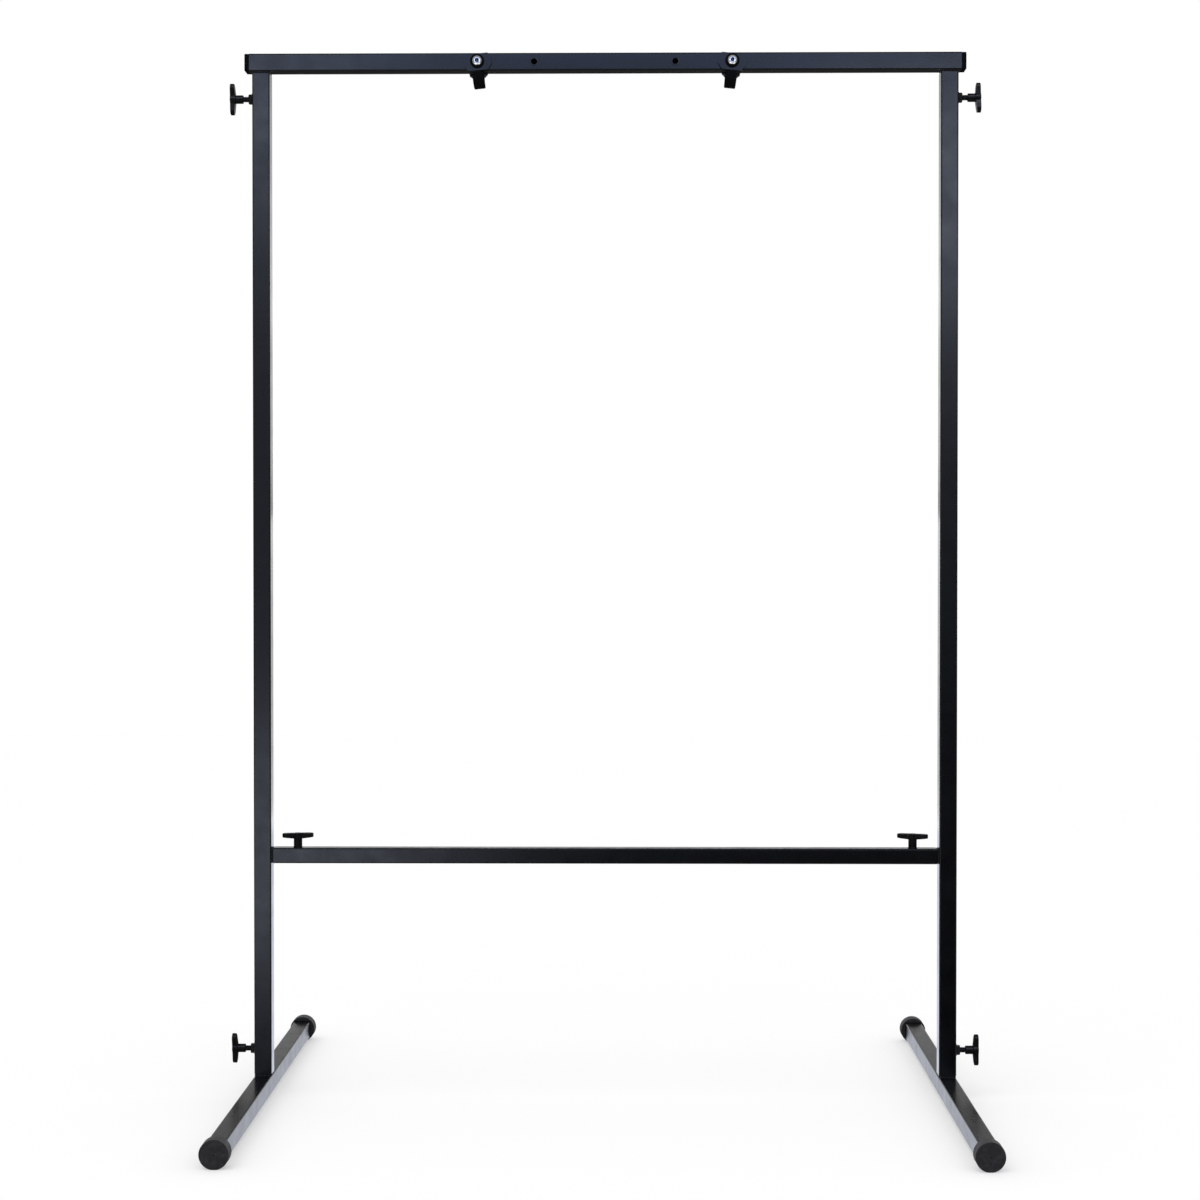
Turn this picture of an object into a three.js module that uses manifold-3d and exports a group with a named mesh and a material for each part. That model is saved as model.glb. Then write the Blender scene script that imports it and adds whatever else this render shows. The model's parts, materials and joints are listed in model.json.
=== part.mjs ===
// Gong stand: two uprights and a crossbar on two long feet, under a beam that carries two swinging hooks.
// X runs along the beam, -Y is the side of the hooks and +Z is up. The floor is at Z 0. Millimetres.
import * as THREE from "three";
import { mergeVertices } from "three/addons/utils/BufferGeometryUtils.js";
import Module from "manifold-3d";

const wasm = await Module();
wasm.setup();

// The whole stand
const standHeight = 1487; // floor to the top of the beam
const standWidth = 1001; // over the outer faces of the uprights
const footLength = 800; // over both rubber caps
const beamOverhang = 4.5; // of the beam's tube past each upright, without its end plug
const crossbarTop = 358; // top face of the crossbar above the floor

// Square steel tube: side, wall and outer corner radius
const mainTube = { side: 25, wall: 1.25, corner: 2 };
const crossTube = { side: 22, wall: 1.25, corner: 2 };

// Stubs that the tubes slide over, each welded where it starts
const slideFit = 0.25; // play on each side of a stub in its tube
const stubWall = 1.5;
const footStubLength = 90;
const beamStubLength = 90;
const crossStubLength = 60;
const weldRise = 2.75; // height of the weld bead at a stub's root, which the tube's end rests on
const weldSlope = 0.5; // how far a bead draws in on its way up
const weldFit = 0.25; // between a bead and the stub that it goes round

// Rubber caps on the feet
const cap = { radius: 19.25, axisHeight: 19, length: 22, face: 3, edge: 0.9, fit: 0.25 };
const capDimple = { radius: 1.6, depth: 0.6 };

// Plastic plugs in the beam's ends
const plug = { head: 6.5, inset: 0.25, edge: 1.5, insert: 20, wall: 2 };
const plugFin = { count: 3, length: 1.5, reach: 0.3 }; // reach is the play left to the tube's wall

// M8 thread and what is made for it
const boltRadius = 4;
const threadFit = 0.25; // play between a bolt and the bore that it turns in
const weldNut = { flats: 13, height: 6.25, chamfer: 0.8, beadWidth: 2.5, beadHeight: 1.6 };
const rivetNut = { flange: 6, flangeHeight: 0.8, barrel: 5.2, length: 13, fit: 0.3 };
const pressNut = { collar: 6.5, collarHeight: 1.4, edge: 0.4 };

// Wing knobs, and the studs that they turn
const wing = { endRing: 15.6, endRadius: 6.5, waistRadius: 60, edge: 0.8 };
const knobHub = { radius: 6, length: 12.7, chamfer: 0.6, flare: 0.9, flareHeight: 1.2 };
const knobHead = { height: 5.9, crown: 0.4, undercut: 1.8 }; // height of the wings, how far each face falls
const knobInset = { depth: 13.5, endFit: 0.4 }; // how deep the stud is moulded into the hub
const studChamfer = 0.9;
const studShow = 8; // bare stud between a knob's hub and its nut on an upright
const knobSeat = 0.3; // between a tightened knob's hub and the collar under it
const knobFromEnd = 35; // from an upright's end to the knob's axis
const crossKnobFromEnd = 34; // from the crossbar's end to the knob's axis
// How far one wing of each knob is turned towards the front, in degrees: left then right
const upperKnobTurns = [6, 12];
const lowerKnobTurns = [12, 0];
const crossKnobTurns = [-11, 17];

// Places along the beam's front, from its middle
const hangerPlace = 180.5;
const spareNutPlace = 100;

// Hangers: a bent steel strap on a bolt, whose hook is sleeved
const strap = { thickness: 2.5, bend: 2.75, width: 40, top: 10.6, shoulder: 5.7, waist: 4.6 };
const strapTopShare = 0.78; // width of the strap's top edge as a share of its full width
const webWidth = 26; // width where the strap passes under the beam
const webDrop = 14.25; // from the bolt down to the web's upper face
const webRun = 10; // how far the web sets the hook back
const hookBend = 10; // radius of the hook's middle line
const hookFoot = 36.4; // from the bolt down to the middle line at the hook's lowest point
const hookTip = 17; // from the bolt down to the hook's tip
const hookWidth = 12.8;
const taperEnd = 24; // from the bolt down to where the strap has narrowed to the hook
const hangerLean = 6; // degrees from plumb, bottom inwards, where the web meets the beam
const sleeve = { wall: 1.3, fit: 0.3, topWidth: 17, footWidth: 15.6, wrap: 130 };
const washer = { radius: 10, thickness: 1.6, edge: 0.4 };
const stackFit = 0.3; // between the pieces stacked on a hanger's bolt
const boltHead = { radius: 7, height: 4.4, rim: 1.1, socketFlats: 5, socketDepth: 2.6 };
const boltReach = 20; // shank under the head

// How finely round forms are made
const roundSteps = 16;
const cornerSteps = 1;
const tubeSteps = 2;
const capSteps = 12;
const wingSteps = 5;
const bendSteps = 4;
const crownSteps = 2;

const quarter = Math.PI / 2;
const overrun = 1; // how far a cutting tool passes what it cuts
const vertexMerge = 0.001; // vertices closer than this are one

const degrees = THREE.MathUtils.degToRad;
const halves = [
  { name: "left", sign: -1 },
  { name: "right", sign: 1 },
];

// Heights and half widths that follow from the sizes above
const uprightX = standWidth / 2 - mainTube.side / 2;
const footTop = cap.axisHeight + mainTube.side / 2;
const beamAxis = standHeight - mainTube.side / 2;
const beamUnderside = standHeight - mainTube.side;
const beamLength = standWidth + 2 * beamOverhang;
const uprightFoot = footTop + weldRise;
const uprightTop = beamUnderside - weldRise;
const frontFace = -mainTube.side / 2;
const crossbarAxis = crossbarTop - crossTube.side / 2;
const crossbarY = frontFace + crossTube.side / 2;
const crossbarEnd = uprightX - mainTube.side / 2 - weldRise;
const crossKnobX = crossbarEnd - crossKnobFromEnd;
const boreRadius = boltRadius + threadFit;

const finishes = {
  coat: { color: 0x2c2e33, roughness: 0.38, metalness: 0.3 },
  insideCoat: { color: 0x25272b, roughness: 0.5, metalness: 0.3 },
  rubber: { color: 0x2a2a2c, roughness: 0.8, metalness: 0 },
  plastic: { color: 0x1b1b1d, roughness: 0.45, metalness: 0 },
  zinc: { color: 0xb9bcc0, roughness: 0.3, metalness: 1 },
  bright: { color: 0xe2e4e6, roughness: 0.18, metalness: 1 },
  blackened: { color: 0x1c1d20, roughness: 0.4, metalness: 0.6 },
};

// Turns a closed geometry into a solid that can be cut and joined.
function toSolid(geometry) {
  const bare = geometry.index ? geometry.toNonIndexed() : geometry.clone();
  bare.deleteAttribute("normal");
  bare.deleteAttribute("uv");
  const merged = mergeVertices(bare, vertexMerge);
  return new wasm.Manifold(
    new wasm.Mesh({
      numProp: 3,
      vertProperties: merged.attributes.position.array,
      triVerts: new Uint32Array(merged.index.array),
    }),
  );
}

// Turns a solid back into a flat-shaded geometry.
function toGeometry(solid) {
  const mesh = solid.getMesh();
  const indexed = new THREE.BufferGeometry();
  indexed.setAttribute("position", new THREE.BufferAttribute(new Float32Array(mesh.vertProperties), 3));
  indexed.setIndex(new THREE.BufferAttribute(new Uint32Array(mesh.triVerts), 1));
  const geometry = indexed.toNonIndexed();
  geometry.computeVertexNormals();
  return geometry;
}

const join = (first, ...others) =>
  toGeometry(others.reduce((solid, other) => solid.add(toSolid(other)), toSolid(first)));

const cut = (first, ...tools) =>
  toGeometry(tools.reduce((solid, tool) => solid.subtract(toSolid(tool)), toSolid(first)));

const common = (first, second) => toGeometry(toSolid(first).intersect(toSolid(second)));

// Axis turns that map a geometry's own Z exactly to another axis.
const toAxis = {
  x: new THREE.Matrix4().set(0, 0, 1, 0, 1, 0, 0, 0, 0, 1, 0, 0, 0, 0, 0, 1),
  front: new THREE.Matrix4().set(1, 0, 0, 0, 0, 0, -1, 0, 0, 1, 0, 0, 0, 0, 0, 1),
};

// A rounded square round the origin, as a shape or as the hole of one.
function roundedSquare(side, corner, outline = new THREE.Shape()) {
  const inner = side / 2 - corner;
  outline.absarc(inner, inner, corner, 0, quarter, false);
  outline.absarc(-inner, inner, corner, quarter, 2 * quarter, false);
  outline.absarc(-inner, -inner, corner, 2 * quarter, 3 * quarter, false);
  outline.absarc(inner, -inner, corner, 3 * quarter, 4 * quarter, false);
  outline.closePath();
  return outline;
}

// A straight-sided outline through points given as [across, up].
function outlineThrough(points) {
  return new THREE.Shape(points.map(([across, up]) => new THREE.Vector2(across, up)));
}

// Extrudes a shape along Z between two heights, with the edges of its ends rounded by `edge` if that is given.
function extrude(shape, from, to, { edge = 0, edgeSteps = 1, steps = cornerSteps } = {}) {
  const geometry = new THREE.ExtrudeGeometry(shape, {
    depth: to - from - 2 * edge,
    curveSegments: steps,
    bevelEnabled: edge > 0,
    bevelThickness: edge,
    bevelSize: edge,
    bevelOffset: -edge,
    bevelSegments: edgeSteps,
  });
  return geometry.translate(0, 0, from + edge);
}

// A shape of [Y, Z] places extruded along X.
const extrudeX = (shape, from, to, options) => extrude(shape, from, to, options).applyMatrix4(toAxis.x);

// A shape of [X, Z] places extruded along Y.
const extrudeY = (shape, from, to, options) => extrude(shape, -to, -from, options).applyMatrix4(toAxis.front);

// Turns a profile of [radius, height] points, from bottom to top, round the Z axis.
function revolve(profile, steps = roundSteps) {
  const points = profile.map(([radius, height]) => new THREE.Vector2(radius, height));
  return new THREE.LatheGeometry(points, steps).applyMatrix4(toAxis.front);
}

// A plain round bar along Z.
function bar(radius, from, to) {
  return revolve([[0, from], [radius, from], [radius, to], [0, to]]);
}

// A hexagonal prism along Z, measured across its flats.
function hexagon(flats, from, to) {
  const corners = Array.from({ length: 6 }, (_, i) => (i * Math.PI) / 3);
  const reach = flats / Math.sqrt(3);
  return extrude(outlineThrough(corners.map((a) => [reach * Math.cos(a), reach * Math.sin(a)])), from, to);
}

// A length of square tube along Z, with its bore.
function squareTube({ side, wall, corner }, from, to) {
  const shape = roundedSquare(side, corner);
  shape.holes.push(roundedSquare(side - 2 * wall, corner - wall / 2, new THREE.Path()));
  return extrude(shape, from, to, { steps: tubeSteps });
}

// Width of the stub that slides in a tube's bore.
const stubSide = (tube) => tube.side - 2 * tube.wall - 2 * slideFit;

// The stub that fits a tube's bore, rising from Z 0.
function stub(tube, length) {
  const shape = roundedSquare(stubSide(tube), tube.corner - tube.wall / 2);
  shape.holes.push(roundedSquare(stubSide(tube) - 2 * stubWall, stubWall / 2, new THREE.Path()));
  return extrude(shape, 0, length);
}

// The weld bead round a stub's root, which the sliding tube's end rests on.
function weldBead(tube) {
  const bead = extrude(roundedSquare(tube.side - weldSlope, tube.corner), 0, weldRise, { edge: weldSlope / 2 });
  const boreCorner = tube.corner - tube.wall / 2 + weldFit;
  return cut(bead, extrude(roundedSquare(stubSide(tube) + 2 * weldFit, boreCorner), -overrun, weldRise + overrun));
}

// The rubber cap of a foot, open at Z 0, with its face up and its flat side towards -Y.
function footCap() {
  const flatAngle = Math.acos(cap.axisHeight / cap.radius);
  const outline = new THREE.Shape();
  outline.absarc(0, 0, cap.radius, flatAngle - quarter, 3 * quarter - flatAngle, false);
  outline.closePath();
  const body = extrude(outline, 0, cap.length, { edge: cap.edge, edgeSteps: 2, steps: capSteps });
  const socketSide = mainTube.side + 2 * cap.fit;
  const socket = extrude(roundedSquare(socketSide, mainTube.corner + cap.fit), -overrun, cap.length - cap.face);
  const dimple = revolve([
    [0, cap.length - capDimple.depth],
    [capDimple.radius, cap.length],
    [capDimple.radius, cap.length + overrun],
    [0, cap.length + overrun],
  ]);
  return cut(body, socket, dimple);
}

// The plug of a beam's end: its head above Z 0 and its finned insert below.
function beamPlug() {
  const headShape = roundedSquare(mainTube.side - 2 * plug.inset, mainTube.corner);
  const head = extrude(headShape, 0, plug.head, { edge: plug.edge });
  const boreSide = mainTube.side - 2 * mainTube.wall;
  const finSide = boreSide - 2 * plugFin.reach;
  const coreSide = finSide - 2 * plug.edge;
  const core = extrude(roundedSquare(coreSide, mainTube.corner), -plug.insert, plug.edge);
  const pitch = (plug.insert - plugFin.length) / plugFin.count;
  const fins = Array.from({ length: plugFin.count }, (_, i) => {
    const low = -plug.insert + (i + 0.5) * pitch;
    return extrude(roundedSquare(finSide, mainTube.corner - mainTube.wall / 2), low, low + plugFin.length);
  });
  const hollow = extrude(roundedSquare(coreSide - 2 * plug.wall, plug.wall / 2), -plug.insert - overrun, -plug.wall);
  return cut(join(head, core, ...fins), hollow);
}

// A hexagonal nut with its lower edge welded down all round.
function weldedNut() {
  const corner = weldNut.flats / Math.sqrt(3);
  const body = common(
    hexagon(weldNut.flats, 0, weldNut.height),
    revolve([
      [0, -overrun],
      [corner, -overrun],
      [corner, weldNut.height - weldNut.chamfer],
      [corner - weldNut.chamfer, weldNut.height],
      [0, weldNut.height],
    ]),
  );
  const bead = revolve([
    [0, 0],
    [weldNut.flats / 2 + weldNut.beadWidth, 0],
    [weldNut.flats / 2 + weldNut.beadWidth / 2, weldNut.beadHeight],
    [0, weldNut.beadHeight],
  ]);
  return cut(join(body, bead), bar(boreRadius, -overrun, weldNut.height + overrun));
}

// A rivet nut: a thin flange above Z 0 and a barrel through the wall below it.
function rivetedNut() {
  return revolve([
    [boreRadius, -rivetNut.length],
    [rivetNut.barrel, -rivetNut.length],
    [rivetNut.barrel, 0],
    [rivetNut.flange, 0],
    [rivetNut.flange, rivetNut.flangeHeight],
    [boreRadius, rivetNut.flangeHeight],
    [boreRadius, -rivetNut.length],
  ]);
}

// A nut pressed into a thin wall from above, ending flush with the wall's inside.
function pressedNut(wall) {
  return revolve([
    [boreRadius, -wall],
    [rivetNut.barrel, -wall],
    [rivetNut.barrel, 0],
    [pressNut.collar, 0],
    [pressNut.collar, pressNut.collarHeight - pressNut.edge],
    [pressNut.collar - pressNut.edge, pressNut.collarHeight],
    [boreRadius, pressNut.collarHeight],
    [boreRadius, -wall],
  ]);
}

// The outline of a knob's two wings: round ends joined by shallow hollows whose arcs meet them smoothly.
function wingOutline() {
  const waistRing = Math.sqrt((wing.endRadius + wing.waistRadius) ** 2 - wing.endRing ** 2);
  const swing = quarter + Math.atan2(wing.endRing, waistRing);
  const outline = new THREE.Shape();
  for (const sign of [1, -1]) {
    const turn = sign > 0 ? 0 : 2 * quarter;
    outline.absarc(sign * wing.endRing, 0, wing.endRadius, turn - swing, turn + swing, false);
    outline.absarc(0, sign * waistRing, wing.waistRadius, turn + swing + 2 * quarter, turn - swing, true);
  }
  outline.closePath();
  return outline;
}

// A moulded wing knob on the Z axis: hub from Z 0 up, two wings on top, blind bore for its stud.
function wingKnob() {
  const top = knobHub.length + knobHead.height;
  const reach = wing.endRing + wing.endRadius;
  const head = extrude(wingOutline(), knobHub.length - knobHead.undercut, top, {
    edge: wing.edge,
    steps: wingSteps,
  });
  const crown = Array.from({ length: crownSteps + 1 }, (_, i) => {
    const share = 1 - i / crownSteps;
    return [share * (reach + overrun), top - knobHead.crown * share ** 2];
  });
  const lens = revolve([
    [0, knobHub.length - knobHead.undercut],
    [knobHub.radius, knobHub.length - knobHead.undercut],
    [reach, knobHub.length],
    [reach + overrun, knobHub.length],
    ...crown,
  ]);
  const flareFoot = knobHub.length - knobHead.undercut - knobHub.flareHeight;
  const hub = revolve([
    [0, 0],
    [knobHub.radius - knobHub.chamfer, 0],
    [knobHub.radius, knobHub.chamfer],
    [knobHub.radius, flareFoot],
    [knobHub.radius + knobHub.flare, flareFoot + knobHub.flareHeight],
    [knobHub.radius + knobHub.flare, top - wing.edge],
    [knobHub.radius, top - knobHead.crown / 2],
    [0, top - knobHead.crown / 2],
  ]);
  const bore = bar(boreRadius, -overrun, knobInset.depth + knobInset.endFit);
  return cut(join(common(head, lens), hub), bore);
}

// The stud of a knob, from inside the hub down to its chamfered tip.
function knobStud(reach) {
  return revolve([
    [0, -reach],
    [boltRadius - studChamfer, -reach],
    [boltRadius, studChamfer - reach],
    [boltRadius, knobInset.depth],
    [0, knobInset.depth],
  ]);
}

// The outline of a bent strip: straight runs and round bends along its middle line, offset to both faces.
// `start` is [Y, Z], `heading` is an angle from +Y, and each leg is { run } or { turn, radius } in degrees.
function bentStrip(start, heading, legs, thickness) {
  const half = thickness / 2;
  const leftFace = [];
  const rightFace = [];
  let [y, z] = start;
  let angle = heading;
  const mark = () => {
    leftFace.push([y - half * Math.sin(angle), z + half * Math.cos(angle)]);
    rightFace.push([y + half * Math.sin(angle), z - half * Math.cos(angle)]);
  };
  mark();
  for (const { run = 0, turn = 0, radius = 0 } of legs) {
    const side = Math.sign(turn);
    const centreY = y - side * radius * Math.sin(angle);
    const centreZ = z + side * radius * Math.cos(angle);
    const steps = Math.ceil((Math.abs(turn) / 90) * bendSteps);
    const from = angle;
    for (let i = 1; i <= steps; i += 1) {
      angle = from + (degrees(turn) * i) / steps;
      y = centreY + side * radius * Math.sin(angle);
      z = centreZ - side * radius * Math.cos(angle);
      mark();
    }
    if (run > 0) {
      y += run * Math.cos(angle);
      z += run * Math.sin(angle);
      mark();
    }
  }
  return outlineThrough([...leftFace, ...rightFace.reverse()]);
}

// Where the strap's middle line runs, in front of the beam and under it.
const strapBack = frontFace - rivetNut.flangeHeight - stackFit;
const strapLine = strapBack - strap.thickness / 2;
const webLine = -webDrop - strap.thickness / 2;
const hookLine = strapLine + webRun;
const legLine = hookLine - 2 * hookBend;
const hookTurnHeight = hookBend - hookFoot;

// An arch-topped upright outline: straight sides that may draw in downwards, under a round head.
function archOutline(topWidth, footWidth, top, foot) {
  const outline = new THREE.Shape();
  outline.moveTo(-footWidth / 2, foot);
  outline.lineTo(footWidth / 2, foot);
  outline.absarc(0, top - topWidth / 2, topWidth / 2, 0, 2 * quarter, false);
  outline.closePath();
  return outline;
}

// The bent strap round its bolt at the origin: plate, web under the beam, taper and hook.
function hangerStrap() {
  const plateRun = strap.top - webLine - strap.bend;
  const line = bentStrip(
    [strapLine, strap.top],
    -quarter,
    [
      { run: plateRun },
      { turn: 90, radius: strap.bend },
      { run: webRun - 2 * strap.bend },
      { turn: -90, radius: strap.bend },
      { run: webLine - strap.bend - hookTurnHeight },
      { turn: -180, radius: hookBend },
      { run: -hookTip - hookTurnHeight },
    ],
    strap.thickness,
  );
  const bent = extrudeX(line, -strap.width / 2, strap.width / 2);
  const half = strap.width / 2;
  const topHalf = half * strapTopShare;
  const plateShape = outlineThrough([
    [-webWidth / 2, -webDrop],
    [webWidth / 2, -webDrop],
    [half, -strap.waist],
    [half, strap.shoulder],
    [topHalf, strap.top + overrun],
    [-topHalf, strap.top + overrun],
    [-half, strap.shoulder],
    [-half, -strap.waist],
  ]);
  const webShape = outlineThrough([
    [-hookWidth / 2, -hookFoot - strap.thickness],
    [hookWidth / 2, -hookFoot - strap.thickness],
    [hookWidth / 2, -taperEnd],
    [webWidth / 2, webLine - strap.bend],
    [webWidth / 2, -webDrop + strap.bend],
    [-webWidth / 2, -webDrop + strap.bend],
    [-webWidth / 2, webLine - strap.bend],
    [-hookWidth / 2, -taperEnd],
  ]);
  const tipShape = archOutline(hookWidth, hookWidth, -hookTip, -hookFoot - strap.thickness);
  const strapFront = strapBack - strap.thickness;
  const outline = join(
    extrudeY(plateShape, strapFront - overrun, strapBack + overrun),
    extrudeY(webShape, strapFront - overrun / 4, hookLine + strap.thickness),
    extrudeY(tipShape, legLine - strap.thickness, strapFront - overrun / 4, { steps: crownSteps }),
  );
  const hole = bar(boreRadius, -strapBack - overrun, overrun - strapFront).applyMatrix4(toAxis.front);
  return cut(common(bent, outline), hole);
}

// The sleeve over the hook's tip and round its foot, in the same place as the strap.
function hookSleeve() {
  const thickness = strap.thickness + 2 * (sleeve.fit + sleeve.wall);
  const top = -hookTip + sleeve.fit + sleeve.wall;
  const legs = (run, wrap) => [{ run }, { turn: wrap, radius: hookBend }];
  const around = (start, wrap, depth) =>
    bentStrip([legLine, start], -quarter, legs(start - hookTurnHeight, wrap), depth);
  const outer = common(
    extrudeX(around(top, sleeve.wrap, thickness), -sleeve.topWidth / 2, sleeve.topWidth / 2),
    extrudeY(
      archOutline(sleeve.topWidth, sleeve.footWidth, top, -hookFoot - thickness),
      legLine - thickness,
      hookLine + thickness,
      { steps: crownSteps },
    ),
  );
  const boreWidth = hookWidth + 2 * sleeve.fit;
  const boreTop = -hookTip + sleeve.fit;
  const boreLine = around(boreTop, 180, strap.thickness + 2 * sleeve.fit);
  const bore = common(
    extrudeX(boreLine, -boreWidth / 2, boreWidth / 2),
    extrudeY(
      archOutline(boreWidth, boreWidth, boreTop, -hookFoot - thickness),
      legLine - thickness,
      hookLine + thickness,
      { steps: crownSteps },
    ),
  );
  return cut(outer, bore);
}

// A button-head bolt along Z: socketed head above Z 0, shank below.
function hangerBolt() {
  const dome = Array.from({ length: crownSteps + 1 }, (_, i) => {
    const share = i / crownSteps;
    const rise = boltHead.height - boltHead.rim;
    const flat = boltHead.socketFlats / 2 + boltHead.rim;
    return [
      flat + (boltHead.radius - flat) * Math.cos(quarter * share),
      boltHead.rim + rise * Math.sin(quarter * share),
    ];
  });
  const body = revolve([
    [0, -boltReach],
    [boltRadius - studChamfer, -boltReach],
    [boltRadius, studChamfer - boltReach],
    [boltRadius, 0],
    [boltHead.radius, 0],
    ...dome,
    [0, boltHead.height],
  ]);
  return cut(
    body,
    hexagon(boltHead.socketFlats, boltHead.height - boltHead.socketDepth, boltHead.height + overrun),
  );
}

// The washer under a bolt's head.
function hangerWasher() {
  return revolve([
    [boreRadius, 0],
    [washer.radius - washer.edge, 0],
    [washer.radius, washer.edge],
    [washer.radius, washer.thickness - washer.edge],
    [washer.radius - washer.edge, washer.thickness],
    [boreRadius, washer.thickness],
    [boreRadius, 0],
  ]);
}

// Adds a named mesh to a group, at a place in that group.
function addMesh(group, name, geometry, finish, x = 0, y = 0, z = 0) {
  const mesh = new THREE.Mesh(geometry, new THREE.MeshStandardMaterial(finishes[finish]));
  mesh.name = name;
  mesh.position.set(x, y, z);
  group.add(mesh);
  return mesh;
}

// Adds an empty group at a place, for pieces that share a direction.
function addGroup(parent, x, y, z) {
  const group = new THREE.Group();
  group.position.set(x, y, z);
  parent.add(group);
  return group;
}

// Adds a stub and its weld bead where a group's Z axis points out of the tube that carries them.
function addStub(place, name, tube, length) {
  addMesh(place, `${name}_stub`, stub(tube, length), "insideCoat");
  addMesh(place, `${name}_weld`, weldBead(tube), "coat");
}

// A foot: its tube, the stub welded on it, and a cap on each end.
function addFoot(stand, { name, sign }) {
  const foot = addGroup(stand, sign * uprightX, 0, 0);
  const tubeEnd = footLength / 2 - cap.face - cap.fit;
  const tube = addMesh(foot, `${name}_foot_tube`, squareTube(mainTube, -tubeEnd, tubeEnd), "coat");
  tube.rotation.x = quarter;
  tube.position.z = cap.axisHeight;
  addStub(addGroup(foot, 0, 0, footTop), `${name}_foot`, mainTube, footStubLength);
  for (const [end, turn] of [["front", 0], ["rear", Math.PI]]) {
    const place = addGroup(foot, 0, 0, cap.axisHeight);
    place.rotation.z = turn;
    const mouth = footLength / 2 - cap.length;
    addMesh(place, `${name}_${end}_foot_cap`, footCap(), "rubber", 0, -mouth, 0).rotation.x = quarter;
  }
}

// An upright with the holes that its knobs' studs pass through.
function addUpright(stand, { name, sign }, knobHeights) {
  const wallX = sign * (mainTube.side / 2);
  const holes = knobHeights.map((height) =>
    bar(boreRadius, -mainTube.side / 4, mainTube.side / 4)
      .applyMatrix4(toAxis.x)
      .translate(wallX, 0, height - uprightFoot),
  );
  const tube = cut(squareTube(mainTube, 0, uprightTop - uprightFoot), ...holes);
  addMesh(stand, `${name}_upright`, tube, "coat", sign * uprightX, 0, uprightFoot);
}

// A knob and its stud, in a group whose Z axis points out of the tube; `reach` is stud below the hub.
function addKnob(place, name, reach, turn) {
  addMesh(place, `${name}_knob_stud`, knobStud(reach), "blackened");
  addMesh(place, `${name}_knob`, wingKnob(), "plastic").rotation.z = turn;
}

// The welded nuts and knobs on the outer side of an upright.
function addSideKnobs(stand, { name, sign }, index, knobHeights) {
  const turns = [lowerKnobTurns[index], upperKnobTurns[index]];
  ["lower", "upper"].forEach((level, row) => {
    const face = addGroup(stand, sign * (standWidth / 2), 0, knobHeights[row]);
    face.rotation.y = sign * quarter;
    addMesh(face, `${name}_${level}_weld_nut`, weldedNut(), "coat");
    const hubFoot = weldNut.height + studShow;
    const seat = addGroup(face, 0, 0, hubFoot);
    addKnob(seat, `${name}_${level}`, hubFoot + mainTube.wall, -degrees(turns[row]));
  });
}

// The crossbar with its nuts and knobs, on stubs welded to the uprights.
function addCrossbar(stand) {
  const holes = halves.map(({ sign }) =>
    bar(rivetNut.barrel + rivetNut.fit, 0, crossTube.side).translate(sign * crossKnobX, crossbarY, crossbarAxis),
  );
  const tube = squareTube(crossTube, -crossbarEnd, crossbarEnd).applyMatrix4(toAxis.x);
  addMesh(stand, "crossbar", cut(tube.translate(0, crossbarY, crossbarAxis), ...holes), "coat");
  halves.forEach(({ name, sign }, index) => {
    const root = addGroup(stand, sign * (crossbarEnd + weldRise), crossbarY, crossbarAxis);
    root.rotation.y = -sign * quarter;
    addStub(root, `${name}_crossbar`, crossTube, crossStubLength);
    const top = addGroup(stand, sign * crossKnobX, crossbarY, crossbarTop);
    addMesh(top, `${name}_crossbar_nut`, pressedNut(crossTube.wall), "zinc");
    const hubFoot = pressNut.collarHeight + knobSeat;
    const seat = addGroup(top, 0, 0, hubFoot);
    const reach = hubFoot + crossTube.wall;
    addKnob(seat, `${name}_crossbar`, reach, -degrees(crossKnobTurns[index]));
  });
}

// The beam with its stubs, plugs and rivet nuts, and the bolts that carry the hangers.
function addBeam(stand) {
  const beam = addGroup(stand, 0, 0, beamAxis);
  const places = halves.flatMap(({ sign }) => [sign * hangerPlace, sign * spareNutPlace]);
  const holes = places.map((x) =>
    bar(rivetNut.barrel + rivetNut.fit, 0, mainTube.side).applyMatrix4(toAxis.front).translate(x, 0, 0),
  );
  const tube = squareTube(mainTube, -beamLength / 2, beamLength / 2).applyMatrix4(toAxis.x);
  addMesh(beam, "beam_tube", cut(tube, ...holes), "coat");
  for (const { name, sign } of halves) {
    const root = addGroup(beam, sign * uprightX, 0, -mainTube.side / 2);
    root.rotation.x = Math.PI;
    addStub(root, `${name}_beam`, mainTube, beamStubLength);
    const end = addGroup(beam, (sign * beamLength) / 2, 0, 0);
    end.rotation.y = sign * quarter;
    addMesh(end, `${name}_beam_plug`, beamPlug(), "plastic");
    const spare = addMesh(beam, `${name}_spare_rivet_nut`, rivetedNut(), "blackened", sign * spareNutPlace, frontFace);
    spare.rotation.x = quarter;
    addHanger(beam, name, sign);
  }
}

// A hanger: rivet nut, washer and bolt on the beam, and the leaning strap with its sleeve.
function addHanger(beam, name, sign) {
  const pivot = addGroup(beam, sign * hangerPlace, 0, 0);
  const stack = [
    ["hanger_rivet_nut", rivetedNut(), "blackened", frontFace],
    ["hanger_washer", hangerWasher(), "rubber", strapBack - strap.thickness - stackFit],
    ["hanger_bolt", hangerBolt(), "bright", strapBack - strap.thickness - washer.thickness - 2 * stackFit],
  ];
  for (const [piece, geometry, finish, seat] of stack) {
    addMesh(pivot, `${name}_${piece}`, geometry, finish, 0, seat).rotation.x = quarter;
  }
  const swing = addGroup(pivot, 0, 0, 0);
  swing.rotation.y = sign * degrees(hangerLean);
  addMesh(swing, `${name}_hanger_strap`, hangerStrap(), "coat");
  addMesh(swing, `${name}_hook_sleeve`, hookSleeve(), "rubber");
}

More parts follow.
